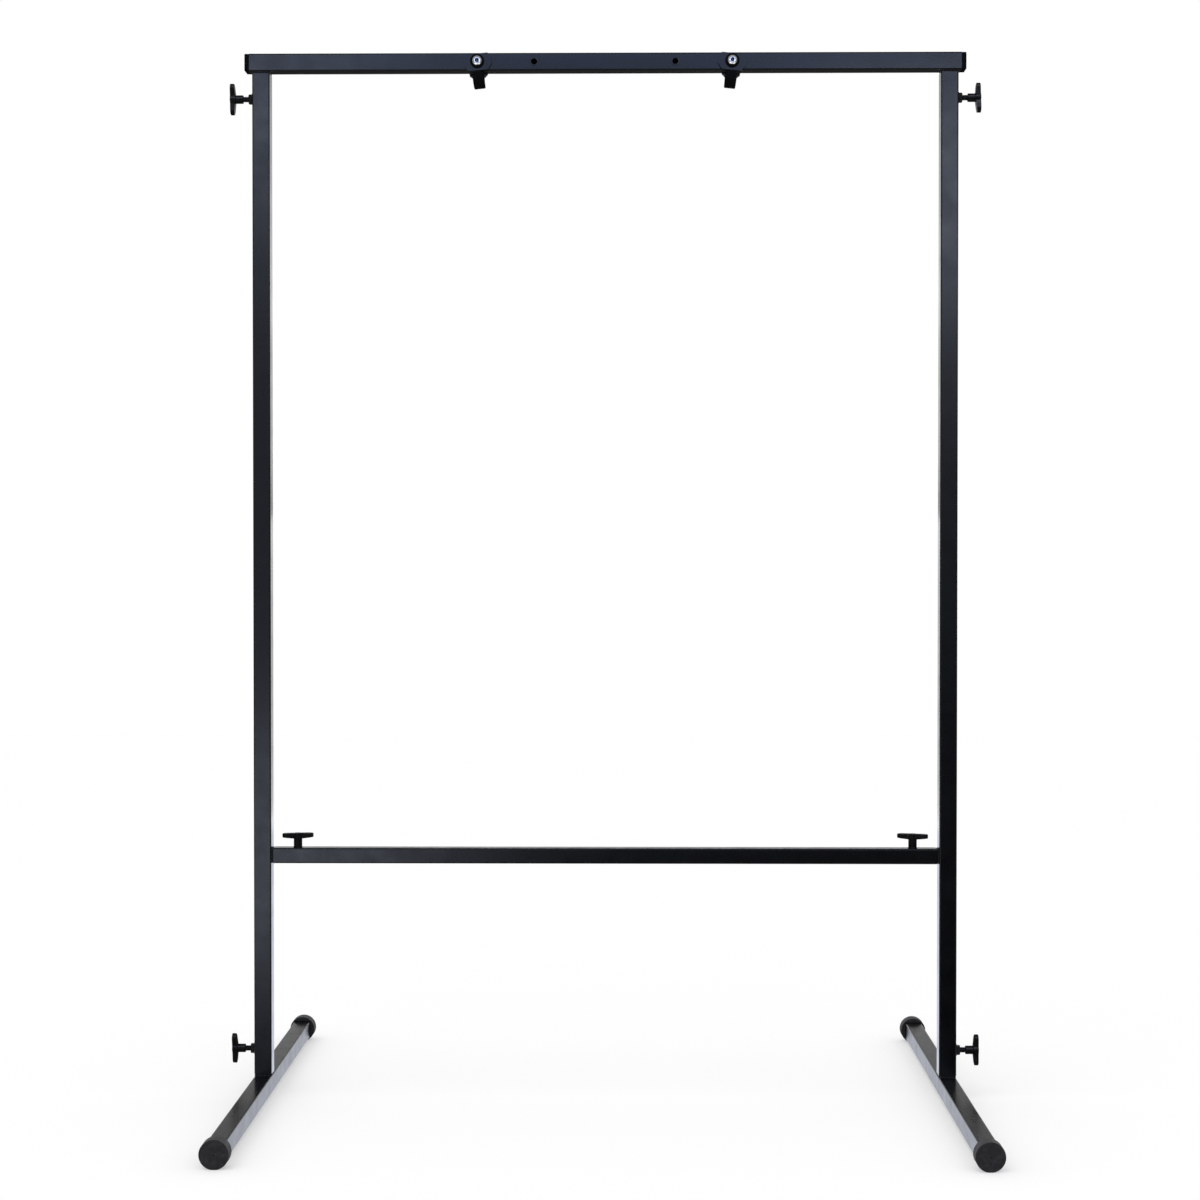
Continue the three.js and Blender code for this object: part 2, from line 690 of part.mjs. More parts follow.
const stand = new THREE.Group();
const knobHeights = [uprightFoot + knobFromEnd, uprightTop - knobFromEnd];
halves.forEach((half, index) => {
  addFoot(stand, half);
  addUpright(stand, half, knobHeights);
  addSideKnobs(stand, half, index, knobHeights);
});
addCrossbar(stand);
addBeam(stand);

export default stand;
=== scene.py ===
"""Gong stand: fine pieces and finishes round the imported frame, with floor, light and camera.

Lengths are metres and angles are degrees where a name doesn't say otherwise. X runs along the
beam, -Y is the side of the hooks and +Z is up.
"""

from __future__ import annotations

import json
import logging
import math
from collections.abc import Callable, Sequence
from dataclasses import dataclass, field
from enum import Enum

import bmesh
import bpy
from mathutils import Matrix, Vector

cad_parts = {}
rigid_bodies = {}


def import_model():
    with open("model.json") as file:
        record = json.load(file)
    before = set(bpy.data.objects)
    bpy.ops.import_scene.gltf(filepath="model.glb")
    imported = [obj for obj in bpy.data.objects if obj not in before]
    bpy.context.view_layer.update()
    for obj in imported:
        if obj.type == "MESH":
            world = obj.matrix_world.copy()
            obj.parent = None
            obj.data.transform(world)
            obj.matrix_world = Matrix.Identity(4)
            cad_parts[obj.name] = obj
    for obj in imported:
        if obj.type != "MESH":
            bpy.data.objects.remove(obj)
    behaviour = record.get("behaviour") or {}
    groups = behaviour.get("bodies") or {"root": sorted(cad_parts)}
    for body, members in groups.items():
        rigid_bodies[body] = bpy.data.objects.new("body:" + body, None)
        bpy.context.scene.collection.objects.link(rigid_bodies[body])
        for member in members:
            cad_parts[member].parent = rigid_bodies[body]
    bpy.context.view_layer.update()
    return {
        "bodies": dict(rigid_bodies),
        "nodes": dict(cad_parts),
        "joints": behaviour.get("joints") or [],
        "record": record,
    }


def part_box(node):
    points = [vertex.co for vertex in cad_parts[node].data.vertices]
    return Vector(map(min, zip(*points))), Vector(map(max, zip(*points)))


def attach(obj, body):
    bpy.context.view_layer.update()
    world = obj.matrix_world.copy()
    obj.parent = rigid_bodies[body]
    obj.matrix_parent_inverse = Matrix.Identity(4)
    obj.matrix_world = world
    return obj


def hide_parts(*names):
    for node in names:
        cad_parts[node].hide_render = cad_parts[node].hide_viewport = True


LOG = logging.getLogger("gong_stand")

X_AXIS = Vector((1.0, 0.0, 0.0))
Y_AXIS = Vector((0.0, 1.0, 0.0))
Z_AXIS = Vector((0.0, 0.0, 1.0))
FRONT = -Y_AXIS
MERGE = 1e-6  # vertices closer than this become one
SHARP = 35.0  # an edge bent by more than this is rounded off
CREASE = 38.0  # an edge bent by more than this stays sharp in shading
KEEN_CREASE = 25.0  # the same on nuts and threads
BLUNT_CREASE = 60.0  # the same on weld beads
SKEW = 0.7  # how far a shifted pattern moves along Y, as a share of X

Colour = tuple[float, float, float]
RingPlace = Callable[[int, int], Vector]
Profile = Sequence[tuple[float, float]]


class Side(Enum):
    """The two halves of the stand, as seen from its front."""

    LEFT = -1
    RIGHT = 1

    @property
    def word(self) -> str:
        """The side's name as the frame's nodes spell it."""
        return self.name.lower()

    @property
    def outwards(self) -> Vector:
        """The direction from the stand's middle to this side."""
        return X_AXIS * self.value


class Slot(Enum):
    """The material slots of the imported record."""

    COAT = "black_coat"
    RUBBER = "cap_rubber"
    SLEEVE = "sleeve_plastic"
    WASHER = "washer_plastic"
    KNOB = "knob_plastic"
    BRIGHT = "bright_steel"
    DARK = "dark_steel"


def seat(origin: Vector, z_axis: Vector, x_axis: Vector) -> Matrix:
    """Gives the placement of a piece whose own Z and X point along two directions.

    Args:
        origin: Where the piece's own origin goes.
        z_axis: Direction of the piece's own Z.
        x_axis: Direction of the piece's own X, square to `z_axis`.

    Returns:
        The matrix from the piece's frame to the stand's.
    """
    turn = Matrix((x_axis, z_axis.cross(x_axis), z_axis)).transposed()
    return Matrix.Translation(origin) @ turn.to_4x4()


@dataclass(frozen=True)
class Box:
    """The box round one of the frame's nodes."""

    low: Vector
    high: Vector

    @classmethod
    def of(cls, node: str) -> Box:
        """Reads a node's box from the frame."""
        return cls(*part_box(node))

    @property
    def size(self) -> Vector:
        """Its lengths along the three axes."""
        return self.high - self.low

    @property
    def middle(self) -> Vector:
        """Its middle."""
        return (self.low + self.high) / 2

    def reach(self, along: Vector) -> float:
        """Gives its length along one of the axes."""
        return abs(self.size.dot(along))

    def face(self, out: Vector) -> Vector:
        """Gives the middle of the face that looks in a direction."""
        return self.middle + out * self.reach(out) / 2


def polar(radius: float, angle: float, z: float) -> Vector:
    """Gives the point at a distance and an angle round the Z axis."""
    return Vector((radius * math.cos(angle), radius * math.sin(angle), z))


def quarter(steps: int, first: int = 0) -> list[tuple[float, float]]:
    """Gives the sine and cosine at even steps of a quarter turn, from the step `first` on."""
    turns = [math.radians(90) * step / steps for step in range(first, steps + 1)]
    return [(math.sin(turn), math.cos(turn)) for turn in turns]


def circle(radius: float, z: float, floor: float = -1.0) -> RingPlace:
    """Gives a round ring, cut off flat where it would fall below `floor` in its own Y.

    Args:
        radius: The ring's radius.
        z: Its height on the axis.
        floor: The lowest Y that a vertex may take.

    Returns:
        The place of each vertex of the ring.
    """

    def place(index: int, count: int) -> Vector:
        """Places one vertex of the ring.

        Args:
            index: Its number on the way round.
            count: How many vertices go round.

        Returns:
            Its place in the piece's own frame.
        """
        spot = polar(radius, math.tau * index / count, z)
        spot.y = max(spot.y, floor)
        return spot

    return place


def rounded_square(side: float, corner: float, z: float) -> RingPlace:
    """Gives a square ring whose vertices all lie on its four rounded corners.

    Args:
        side: Width over the flats.
        corner: Radius of the corners.
        z: Its height on the axis.

    Returns:
        The place of each vertex of the ring.
    """
    inner = side / 2 - corner

    def place(index: int, count: int) -> Vector:
        """Places one vertex of the ring.

        Args:
            index: Its number on the way round.
            count: How many vertices go round.

        Returns:
            Its place in the piece's own frame.
        """
        share = count // 4
        quadrant, step = divmod(index, share)
        angle = math.radians(90) * (quadrant + step / (share - 1))
        middle = math.radians(90) * quadrant + math.radians(45)
        across = math.copysign(inner, math.cos(middle)) + corner * math.cos(angle)
        up = math.copysign(inner, math.sin(middle)) + corner * math.sin(angle)
        return Vector((across, up, z))

    return place


def hexagon(flats: float, z: float, cone: float = math.inf, trimmed: bool = False) -> RingPlace:
    """Gives a hexagonal ring with corners up and down, whose corners a 45 degree cone trims.

    Args:
        flats: Width over the flats.
        z: Its height on the axis.
        cone: Radius at which the trimming cone meets the height `z`.
        trimmed: Whether the ring is drawn in to that radius rather than lowered.

    Returns:
        The place of each vertex of the ring.
    """
    sixth = math.radians(60)

    def place(index: int, count: int) -> Vector:
        """Places one vertex of the ring.

        Args:
            index: Its number on the way round.
            count: How many vertices go round.

        Returns:
            Its place in the piece's own frame.
        """
        angle = math.tau * index / count
        reach = flats / 2 / math.cos((angle + sixth / 2) % sixth - sixth / 2)
        if trimmed:
            return polar(min(reach, cone), angle, z)
        return polar(reach, angle, z - max(reach - cone, 0.0))

    return place


@dataclass(frozen=True)
class Hole:
    """A round hole through one wall: its middle, its axis, its radius and its depth."""

    middle: Vector
    axis: Vector
    radius: float
    depth: float = 0.004
    steps: int = 64

    def cutter(self, form: bmesh.types.BMesh) -> None:
        """Adds the cylinder that the hole takes away.

        Args:
            form: The mesh that it is added to.
        """
        turn = Z_AXIS.rotation_difference(self.axis).to_matrix().to_4x4()
        bmesh.ops.create_cone(
            form,
            cap_ends=True,
            segments=self.steps,
            radius1=self.radius,
            radius2=self.radius,
            depth=self.depth,
            matrix=Matrix.Translation(self.middle) @ turn,
        )


def drilled(mesh: bpy.types.Mesh, holes: Sequence[Hole]) -> bpy.types.Mesh:
    """Cuts round holes in a closed mesh.

    Args:
        mesh: The mesh, in the stand's frame.
        holes: What is cut, in the same frame.

    Returns:
        The drilled mesh, under the old one's name.
    """
    form = bmesh.new()
    for hole in holes:
        hole.cutter(form)
    drill_mesh = bpy.data.meshes.new("drill")
    form.to_mesh(drill_mesh)
    form.free()
    drill = bpy.data.objects.new("drill", drill_mesh)
    blank = bpy.data.objects.new("blank", mesh)
    for item in (drill, blank):
        bpy.context.scene.collection.objects.link(item)
    cut = blank.modifiers.new("holes", "BOOLEAN")
    cut.operation = "DIFFERENCE"
    cut.solver = "EXACT"
    cut.object = drill
    shown = bpy.context.evaluated_depsgraph_get()
    result = bpy.data.meshes.new_from_object(blank.evaluated_get(shown))
    name = mesh.name
    for item, old in ((drill, drill_mesh), (blank, mesh)):
        bpy.data.objects.remove(item)
        bpy.data.meshes.remove(old)
    result.name = name
    return result


class Form:
    """A closed shape under construction, in the piece's own frame."""

    def __init__(self) -> None:
        """Starts an empty shape."""
        self.bm = bmesh.new()
        self.order = self.bm.verts.layers.int.new("order")
        # A mark on each vertex of where shade is painted into the colour, as in the bolt's socket.
        self.grime = self.bm.verts.layers.float.new("grime")

    def loft(self, rings: Sequence[RingPlace], count: int, joined: bool = False) -> Form:
        """Extrudes a circle from ring to ring.

        Args:
            rings: The cross-sections in order.
            count: How many vertices each has.
            joined: Whether the last ring joins the first, as round a hole, or both are filled.

        Returns:
            The form itself.
        """
        made = bmesh.ops.create_circle(self.bm, cap_ends=False, radius=1.0, segments=count)
        verts = made["verts"]
        for index, vert in enumerate(verts):
            vert[self.order] = index
            vert.co = rings[0](index, count)
        first = list(dict.fromkeys(edge for vert in verts for edge in vert.link_edges))
        edges = first
        for ring in rings[1:]:
            grown = bmesh.ops.extrude_edge_only(self.bm, edges=edges)["geom"]
            fresh = {part for part in grown if isinstance(part, bmesh.types.BMVert)}
            for vert in fresh:
                vert.co = ring(vert[self.order], count)
            edges = [
                part
                for part in grown
                if isinstance(part, bmesh.types.BMEdge) and all(v in fresh for v in part.verts)
            ]
        if joined:
            bmesh.ops.bridge_loops(self.bm, edges=first + edges)
        else:
            bmesh.ops.edgeloop_fill(self.bm, edges=first)
            bmesh.ops.edgeloop_fill(self.bm, edges=edges)
        return self

    def spin(self, profile: Profile, steps: int, turns: int = 1, pitch: float = 0.0) -> Form:
        """Turns a profile of (radius, height) points round the Z axis, closed or as a screw.

        Args:
            profile: The points in order.
            steps: How many faces go round in a turn.
            turns: How many turns there are.
            pitch: How far a screw rises in a turn, or 0 for a closed ring.

        Returns:
            The form itself.
        """
        verts = [self.bm.verts.new((radius, 0.0, z)) for radius, z in profile]
        edges = [self.bm.edges.new(pair) for pair in zip(verts, verts[1:])]
        bmesh.ops.spin(
            self.bm,
            geom=verts + edges,
            cent=(0.0, 0.0, 0.0),
            axis=Z_AXIS,
            dvec=(0.0, 0.0, pitch / steps),
            angle=math.tau * turns,
            steps=steps * turns,
            use_merge=not pitch,
        )
        return self

    def block(self, width: float, depth: float, low: float, high: float) -> Form:
        """Adds a block round the Z axis.

        Args:
            width: Its width along X.
            depth: Its depth along Y.
            low: The height of its underside.
            high: The height of its top.

        Returns:
            The form itself.
        """
        verts = bmesh.ops.create_cube(self.bm, size=1.0)["verts"]
        bmesh.ops.scale(self.bm, vec=(width, depth, high - low), verts=verts)
        bmesh.ops.translate(self.bm, vec=(0.0, 0.0, (low + high) / 2), verts=verts)
        return self

    def upright_edges(self) -> list[bmesh.types.BMEdge]:
        """The edges that run along Z."""
        return [e for e in self.bm.edges if (e.verts[0].co - e.verts[1].co).xy.length < MERGE]

    def round_off(
        self, width: float, segments: int, edges: list[bmesh.types.BMEdge] | None = None
    ) -> Form:
        """Rounds edges.

        Args:
            width: How far the rounding reaches from each edge.
            segments: How many faces it has.
            edges: Which edges, or all that are sharp.

        Returns:
            The form itself.
        """
        bmesh.ops.remove_doubles(self.bm, verts=self.bm.verts, dist=MERGE)
        if edges is None:
            bmesh.ops.recalc_face_normals(self.bm, faces=self.bm.faces)
            edges = [
                edge
                for edge in self.bm.edges
                if len(edge.link_faces) == 2 and edge.calc_face_angle(0.0) > math.radians(SHARP)
            ]
        bmesh.ops.bevel(
            self.bm,
            geom=edges,
            offset=width,
            offset_type="OFFSET",
            segments=segments,
            profile=0.5,
            affect="EDGES",
            clamp_overlap=True,
            material=-1,
        )
        return self

    def hollow(self, wall: float) -> Form:
        """Opens the form along Z, which makes it a tube.

        Args:
            wall: Thickness of the tube's wall, inwards from the form's faces.

        Returns:
            The form itself.
        """
        ends = [face for face in self.bm.faces if abs(face.normal.z) > 0.5]
        bmesh.ops.delete(self.bm, geom=ends, context="FACES_ONLY")
        bmesh.ops.recalc_face_normals(self.bm, faces=self.bm.faces)
        bmesh.ops.solidify(self.bm, geom=self.bm.faces, thickness=wall)
        return self

    def finish(
        self, name: str, place: Matrix, crease: float = CREASE, holes: Sequence[Hole] = ()
    ) -> bpy.types.Object:
        """Closes and orients the form, and makes its object in the scene.

        Args:
            name: The object's name.
            place: From the piece's own frame to the stand's.
            crease: Angle above which an edge stays sharp in shading.
            holes: Round holes to cut, in the stand's frame.

        Returns:
            The object, at the origin, with its place in its mesh.
        """
        bmesh.ops.remove_doubles(self.bm, verts=self.bm.verts, dist=MERGE)
        bmesh.ops.dissolve_degenerate(self.bm, edges=self.bm.edges, dist=MERGE / 10)
        bmesh.ops.transform(self.bm, matrix=place, verts=self.bm.verts)
        bmesh.ops.recalc_face_normals(self.bm, faces=self.bm.faces)
        open_edges = sum(1 for edge in self.bm.edges if len(edge.link_faces) != 2)
        mesh = bpy.data.meshes.new(name)
        self.bm.to_mesh(mesh)
        self.bm.free()
        if holes:
            mesh = drilled(mesh, holes)
        mesh.shade_smooth()
        mesh.set_sharp_from_angle(angle=math.radians(crease))
        piece = bpy.data.objects.new(name, mesh)
        bpy.context.scene.collection.objects.link(piece)
        flatten = piece.modifiers.new("flat faces stay flat", "WEIGHTED_NORMAL")
        flatten.mode = "FACE_AREA"
        flatten.keep_sharp = True
        LOG.info("%s: %d faces, %d open edges", name, len(mesh.polygons), open_edges)
        return piece


class Paint:
    """A principled material, with short calls that add pattern nodes to it."""

    def __init__(
        self,
        name: str,
        colour: Sequence[float],
        roughness: float,
        metallic: float,
        specular: float = 0.5,
    ) -> None:
        """Makes the material with its all-over values on the shader's own sockets.

        Args:
            name: The material's name.
            colour: Its colour.
            roughness: How matt it is, from 0 to 1.
            metallic: 1 for metal and 0 for anything else.
            specular: How much it mirrors, where 0.5 is usual.
        """
        self.material = bpy.data.materials.new(name)
        self.material.use_nodes = True
        self.nodes = self.material.node_tree.nodes
        self.links = self.material.node_tree.links
        self.shader = self.nodes["Principled BSDF"]
        self.shader.inputs["Base Color"].default_value = (*colour, 1.0)
        self.shader.inputs["Roughness"].default_value = roughness
        self.shader.inputs["Metallic"].default_value = metallic
        self.shader.inputs["Specular IOR Level"].default_value = specular
        self.spot = self.nodes.new("ShaderNodeTexCoord").outputs["Object"]
        self.normal: bpy.types.NodeSocket | None = None

    def pattern(self, pattern: Pattern) -> bpy.types.NodeSocket:
        """Adds a pattern.

        Args:
            pattern: What it looks like.

        Returns:
            The socket of its values.
        """
        kind = "ShaderNodeTexVoronoi" if pattern.cells else "ShaderNodeTexNoise"
        mapping, texture = self.nodes.new("ShaderNodeMapping"), self.nodes.new(kind)
        mapping.inputs["Location"].default_value = pattern.location
        mapping.inputs["Scale"].default_value = pattern.scale
        texture.inputs["Scale"].default_value = 1.0
        self.links.new(self.spot, mapping.inputs["Vector"])
        self.links.new(mapping.outputs["Vector"], texture.inputs["Vector"])
        if pattern.cells:
            return texture.outputs["Distance"]
        texture.inputs["Detail"].default_value = pattern.detail
        return texture.outputs["Fac"]

    def own(self, name: str) -> bpy.types.NodeSocket:
        """Reads a mark that the piece's own mesh carries.

        Args:
            name: The mark's name.

        Returns:
            The socket of its values.
        """
        mark = self.nodes.new("ShaderNodeAttribute")
        mark.attribute_name = name
        return mark.outputs["Fac"]

    def spread(self, pattern: Pattern, result: tuple[float, float]) -> bpy.types.NodeSocket:
        """Adds a pattern and maps its span to other values.

        Args:
            pattern: The pattern.
            result: What the two ends of its span become.

        Returns:
            The socket of the new values.
        """
        node = self.nodes.new("ShaderNodeMapRange")
        names = ("From Min", "From Max", "To Min", "To Max")
        for name, value in zip(names, (*pattern.span, *result)):
            node.inputs[name].default_value = value
        self.links.new(self.pattern(pattern), node.inputs["Value"])
        return node.outputs["Result"]

    def blend(
        self,
        factor: bpy.types.NodeSocket,
        low: Colour | bpy.types.NodeSocket,
        high: Colour,
    ) -> bpy.types.NodeSocket:
        """Mixes two colours by a pattern.

        Args:
            factor: The pattern.
            low: Colour or socket where it is 0.
            high: Colour where it is 1.

        Returns:
            The mixed colour's socket.
        """
        node = self.nodes.new("ShaderNodeMix")
        node.data_type = "RGBA"
        self.links.new(factor, node.inputs["Factor"])
        low_socket, high_socket = (socket for socket in node.inputs if socket.type == "RGBA")
        if isinstance(low, bpy.types.NodeSocket):
            self.links.new(low, low_socket)
        else:
            low_socket.default_value = (*low, 1.0)
        high_socket.default_value = (*high, 1.0)
        return next(socket for socket in node.outputs if socket.type == "RGBA")

    def colour(self, source: bpy.types.NodeSocket) -> None:
        """Joins a colour to the shader."""
        self.links.new(source, self.shader.inputs["Base Color"])

    def roughness(self, source: bpy.types.NodeSocket) -> None:
        """Joins a roughness pattern to the shader."""
        self.links.new(source, self.shader.inputs["Roughness"])

    def bump(self, height: bpy.types.NodeSocket, depth: float) -> None:
        """Adds relief on top of what the material already has.

        Args:
            height: The pattern of the relief.
            depth: How deep it is.
        """
        node = self.nodes.new("ShaderNodeBump")
        node.inputs["Strength"].default_value = 1.0
        node.inputs["Distance"].default_value = depth
        self.links.new(height, node.inputs["Height"])
        if self.normal is not None:
            self.links.new(self.normal, node.inputs["Normal"])
        self.normal = node.outputs["Normal"]
        self.links.new(self.normal, self.shader.inputs["Normal"])


@dataclass(frozen=True)
class Pattern:
    """A cloudy or cellular pattern with values round a half.

    `size` is the width of its features, the same all ways or one for each axis. `detail` is how
    many finer layers clouds have, `shift` tells apart two patterns of one size, and `span` is
    the range of values over which it has its effect.
    """

    size: float | tuple[float, float, float]
    detail: float = 2.0
    shift: float = 0.0
    span: tuple[float, float] = (0.3, 0.7)
    cells: bool = False

    @property
    def scale(self) -> list[float]:
        """How many features there are in a metre, for each axis."""
        sizes = self.size if isinstance(self.size, tuple) else (self.size,) * 3
        return [1 / length for length in sizes]

    @property
    def location(self) -> tuple[float, float, float]:
        """Where the shift moves the pattern to."""
        return self.shift, self.shift * SKEW, -self.shift


@dataclass(frozen=True)
class Layer:
    """A colour that covers what lies under it where a pattern is high."""

    colour: Colour
    where: Pattern
    strength: float = 1.0


@dataclass(frozen=True)
class Relief:
    """Bumps of one depth in a pattern."""

    depth: float
    where: Pattern


@dataclass(frozen=True)
class Finish:
    """What a material slot looks like.

    `gloss` is the range of its roughness and `wear` the pattern that runs through it. The last
    field is a dark colour painted as shade where a piece's mesh marks a shaded recess.
    """

    name: str
    colour: Colour
    gloss: tuple[float, float]
    wear: Pattern
    layers: tuple[Layer, ...]
    reliefs: tuple[Relief, ...]
    metallic: float = 0.0
    specular: float = 0.5
    sheen: float = 0.0
    grime: Colour | None = None

    def make(self) -> bpy.types.Material:
        """Builds the material.

        Returns:
            The material, with its layers, gloss and reliefs.
        """
        paint = Paint(self.name, self.colour, sum(self.gloss) / 2, self.metallic, self.specular)
        paint.shader.inputs["Sheen Weight"].default_value = self.sheen
        shade: Colour | bpy.types.NodeSocket = self.colour
        for layer in self.layers:
            shade = paint.blend(
                paint.spread(layer.where, (0.0, layer.strength)), shade, layer.colour
            )
        # Painted shade: a dark colour laid where the piece's mesh marks a shaded recess.
        if self.grime is not None:
            shade = paint.blend(paint.own("grime"), shade, self.grime)
        paint.colour(shade)
        paint.roughness(paint.spread(self.wear, self.gloss))
        for relief in self.reliefs:
            paint.bump(paint.pattern(relief.where), relief.depth)
        return paint.material


def plastic(
    name: str,
    colours: tuple[Colour, Colour],
    gloss: tuple[float, float],
    specular: float,
    grain: float,
) -> Finish:
    """Gives moulded plastic with the fine leathery grain of an etched mould.

    Args:
        name: The material's name.
        colours: The plastic's colour and the one it fades to.
        gloss: The range of its roughness.
        specular: How much it mirrors.
        grain: Width of a cell of the grain.

    Returns:
        The finish.
    """
    return Finish(
        name,
        colour=colours[0],
        gloss=gloss,
        wear=Pattern(0.003, 3.0, 5.0),
        layers=(Layer(colours[1], Pattern(0.009, 3.0, span=(0.35, 0.65))),),
        reliefs=(
            Relief(0.00002, Pattern(grain, cells=True)),
            Relief(0.00002, Pattern(grain * 3)),
        ),
        specular=specular,
    )


def steel(name: str, colours: tuple[Colour, Colour], gloss: tuple[float, float]) -> Finish:
    """Gives bare or blackened steel with fine handling marks, and shade painted into the recesses
    that a piece's mesh marks.

    Args:
        name: The material's name.
        colours: The steel's colour and its stains' colour.
        gloss: The range of its roughness.

    Returns:
        The finish.
    """
    return Finish(
        name,
        colour=colours[0],
        gloss=gloss,
        wear=Pattern(0.0015, 4.0, 3.0),
        layers=(Layer(colours[1], Pattern(0.003, 4.0, span=(0.45, 0.72))),),
        reliefs=(
            Relief(0.000004, Pattern((0.00015, 0.0012, 0.0012))),
            Relief(0.000004, Pattern(0.0005, shift=6.0)),
        ),
        metallic=1.0,
        # Painted shade for recesses that the mesh marks, such as the bolt's socket.
        grime=(0.012, 0.012, 0.013),
    )


FINISHES = {
    # Powder coat: soft clouds, a little dust, orange peel and a fine grain.
    Slot.COAT: Finish(
        "satin_powder_coat",
        colour=(0.0010, 0.0011, 0.0015),
        gloss=(0.21, 0.27),
        wear=Pattern(0.03, 4.0, 7.0),
        layers=(
            Layer((0.0016, 0.0018, 0.0024), Pattern(0.05, 3.0, span=(0.35, 0.65))),
            Layer((0.06, 0.06, 0.06), Pattern(0.0010, 1.0, 3.0, (0.77, 0.82)), strength=0.5),
        ),
        reliefs=(
            Relief(0.000004, Pattern(0.0018, 1.0)),
            Relief(0.0000015, Pattern(0.0005, 1.0, 2.0)),
        ),
    ),
    # Moulded rubber: a pale bloom, an uneven surface and a fine pitted skin.
    Slot.RUBBER: Finish(
        "matt_rubber",
        colour=(0.009, 0.009, 0.0105),
        gloss=(0.52, 0.68),
        wear=Pattern(0.004, 3.0, 5.0),
        layers=(Layer((0.019, 0.019, 0.022), Pattern(0.006, 5.0, span=(0.4, 0.68))),),
        reliefs=(
            Relief(0.00006, Pattern(0.004, shift=9.0)),
            Relief(0.00002, Pattern(0.0007)),
        ),
        specular=0.45,
        sheen=0.12,
    ),
    # Soft vinyl: scuffs across the hook, and lumps where it was drawn over it.
    Slot.SLEEVE: Finish(
        "dipped_sleeve",
        colour=(0.0008, 0.0008, 0.0010),
        gloss=(0.50, 0.65),
        wear=Pattern(0.002, 3.0, 5.0),
        layers=(
            Layer((0.004, 0.004, 0.0045), Pattern((0.0008, 0.003, 0.003), 3.0, span=(0.55, 0.75))),
        ),
        reliefs=(
            Relief(0.0002, Pattern(0.004, 1.0)),
            Relief(0.0002 / 12, Pattern(0.0005, shift=4.0)),
        ),
        specular=0.12,
    ),
    Slot.WASHER: plastic(
        "washer_plastic",
        ((0.0009, 0.0009, 0.0011), (0.0022, 0.0022, 0.0025)),
        (0.45, 0.60),
        specular=0.09,
        grain=0.0003,
    ),
    Slot.KNOB: plastic(
        "grained_plastic",
        ((0.0018, 0.0018, 0.0021), (0.0045, 0.0045, 0.005)),
        (0.34, 0.44),
        specular=0.12,
        grain=0.0005,
    ),
    Slot.BRIGHT: steel("bright_steel", ((0.94, 0.94, 0.94), (0.84, 0.84, 0.84)), (0.20, 0.30)),
    Slot.DARK: steel("blackened_steel", ((0.055, 0.056, 0.060), (0.10, 0.10, 0.10)), (0.32, 0.48)),
}


class Workshop:
    """Dresses finished pieces, and ties each to the frame's node and body."""

    def __init__(self, frame: dict) -> None:
        """Reads the frame's bodies and slots, and makes one material for each slot.

        Args:
            frame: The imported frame, with its record and its nodes.
        """
        record = frame["record"]
        self.nodes: dict[str, bpy.types.Object] = frame["nodes"]
        self.body_of = {
            node: body
            for body, members in record["behaviour"]["bodies"].items()
            for node in members
        }
        self.slot_of = {part["node"]: Slot(part["material_slot"]) for part in record["subparts"]}
        self.finishes = {slot: finish.make() for slot, finish in FINISHES.items()}
        self.replaced: set[str] = set()

    def paint(self, piece: bpy.types.Object, slot: Slot) -> None:
        """Gives a piece the finish of a slot, and no other."""
        piece.data.materials.clear()
        piece.data.materials.append(self.finishes[slot])

    def fit(self, piece: bpy.types.Object, node: str, finish: Slot | None = None) -> None:
        """Gives a piece its finish and its node's body.

        Args:
            piece: The finished object.
            node: The frame's node that it stands for.
            finish: Whose finish it wears, or its own slot's.
        """
        slot = self.slot_of[node]
        self.paint(piece, finish or slot)
        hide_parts(node)
        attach(piece, self.body_of[node])
        self.replaced.add(node)

    def dress_rest(self) -> None:
        """Gives the frame's nodes that stay visible their finish."""
        for node, piece in self.nodes.items():
            if node not in self.replaced:
                self.paint(piece, self.slot_of[node])
                LOG.info("%s keeps the frame's own shape", node)


@dataclass
class SquareTubes:
    """The square steel tubes: feet, uprights, crossbar and beam."""

    shop: Workshop
    wall: float = 0.00125
    corner: float = 0.002
    corner_faces: int = 6
    rim: float = 0.0003
    rivet_hole: float = 0.0053
    screw_hole: float = 0.0045
    nodes: tuple[str, ...] = (
        "left_foot_tube",
        "right_foot_tube",
        "left_upright",
        "right_upright",
        "crossbar",
        "beam_tube",
    )

    def holes(self, node: str) -> list[Hole]:
        """Gives the holes of a tube: one behind each nut that is fixed to it.

        Args:
            node: The tube's node in the frame.

        Returns:
            The holes, and none for a tube without nuts.
        """
        found = []
        for side in Side:
            nuts, out, radius = {
                "beam_tube": (("hanger_rivet_nut", "spare_rivet_nut"), FRONT, self.rivet_hole),
                "crossbar": (("crossbar_nut",), Z_AXIS, self.rivet_hole),
                f"{side.word}_upright": (
                    ("lower_weld_nut", "upper_weld_nut"),
                    side.outwards,
                    self.screw_hole,
                ),
            }.get(node, ((), Z_AXIS, 0.0))
            skin = Box.of(node).face(out).dot(out)
            for nut in nuts:
                middle = Box.of(f"{side.word}_{nut}").middle
                middle += out * (skin - self.wall / 2 - middle.dot(out))
                found.append(Hole(middle, out, radius))
        return found

    def build(self) -> None:
        """Makes every tube."""
        for node in self.nodes:
            box = Box.of(node)
            sizes = list(box.size)
            side, length = min(sizes), max(sizes)
            along = sizes.index(length)
            z_axis = Vector([float(axis == along) for axis in range(3)])
            x_axis = Y_AXIS if along == 0 else X_AXIS
            form = Form().block(side, side, -length / 2, length / 2)
            form.round_off(self.corner, self.corner_faces, form.upright_edges())
            form.hollow(self.wall)
            form.round_off(self.rim, 2)
            place = seat(box.middle, z_axis, x_axis)
            piece = form.finish(f"{node}_steel", place, holes=self.holes(node))
            self.shop.fit(piece, node)


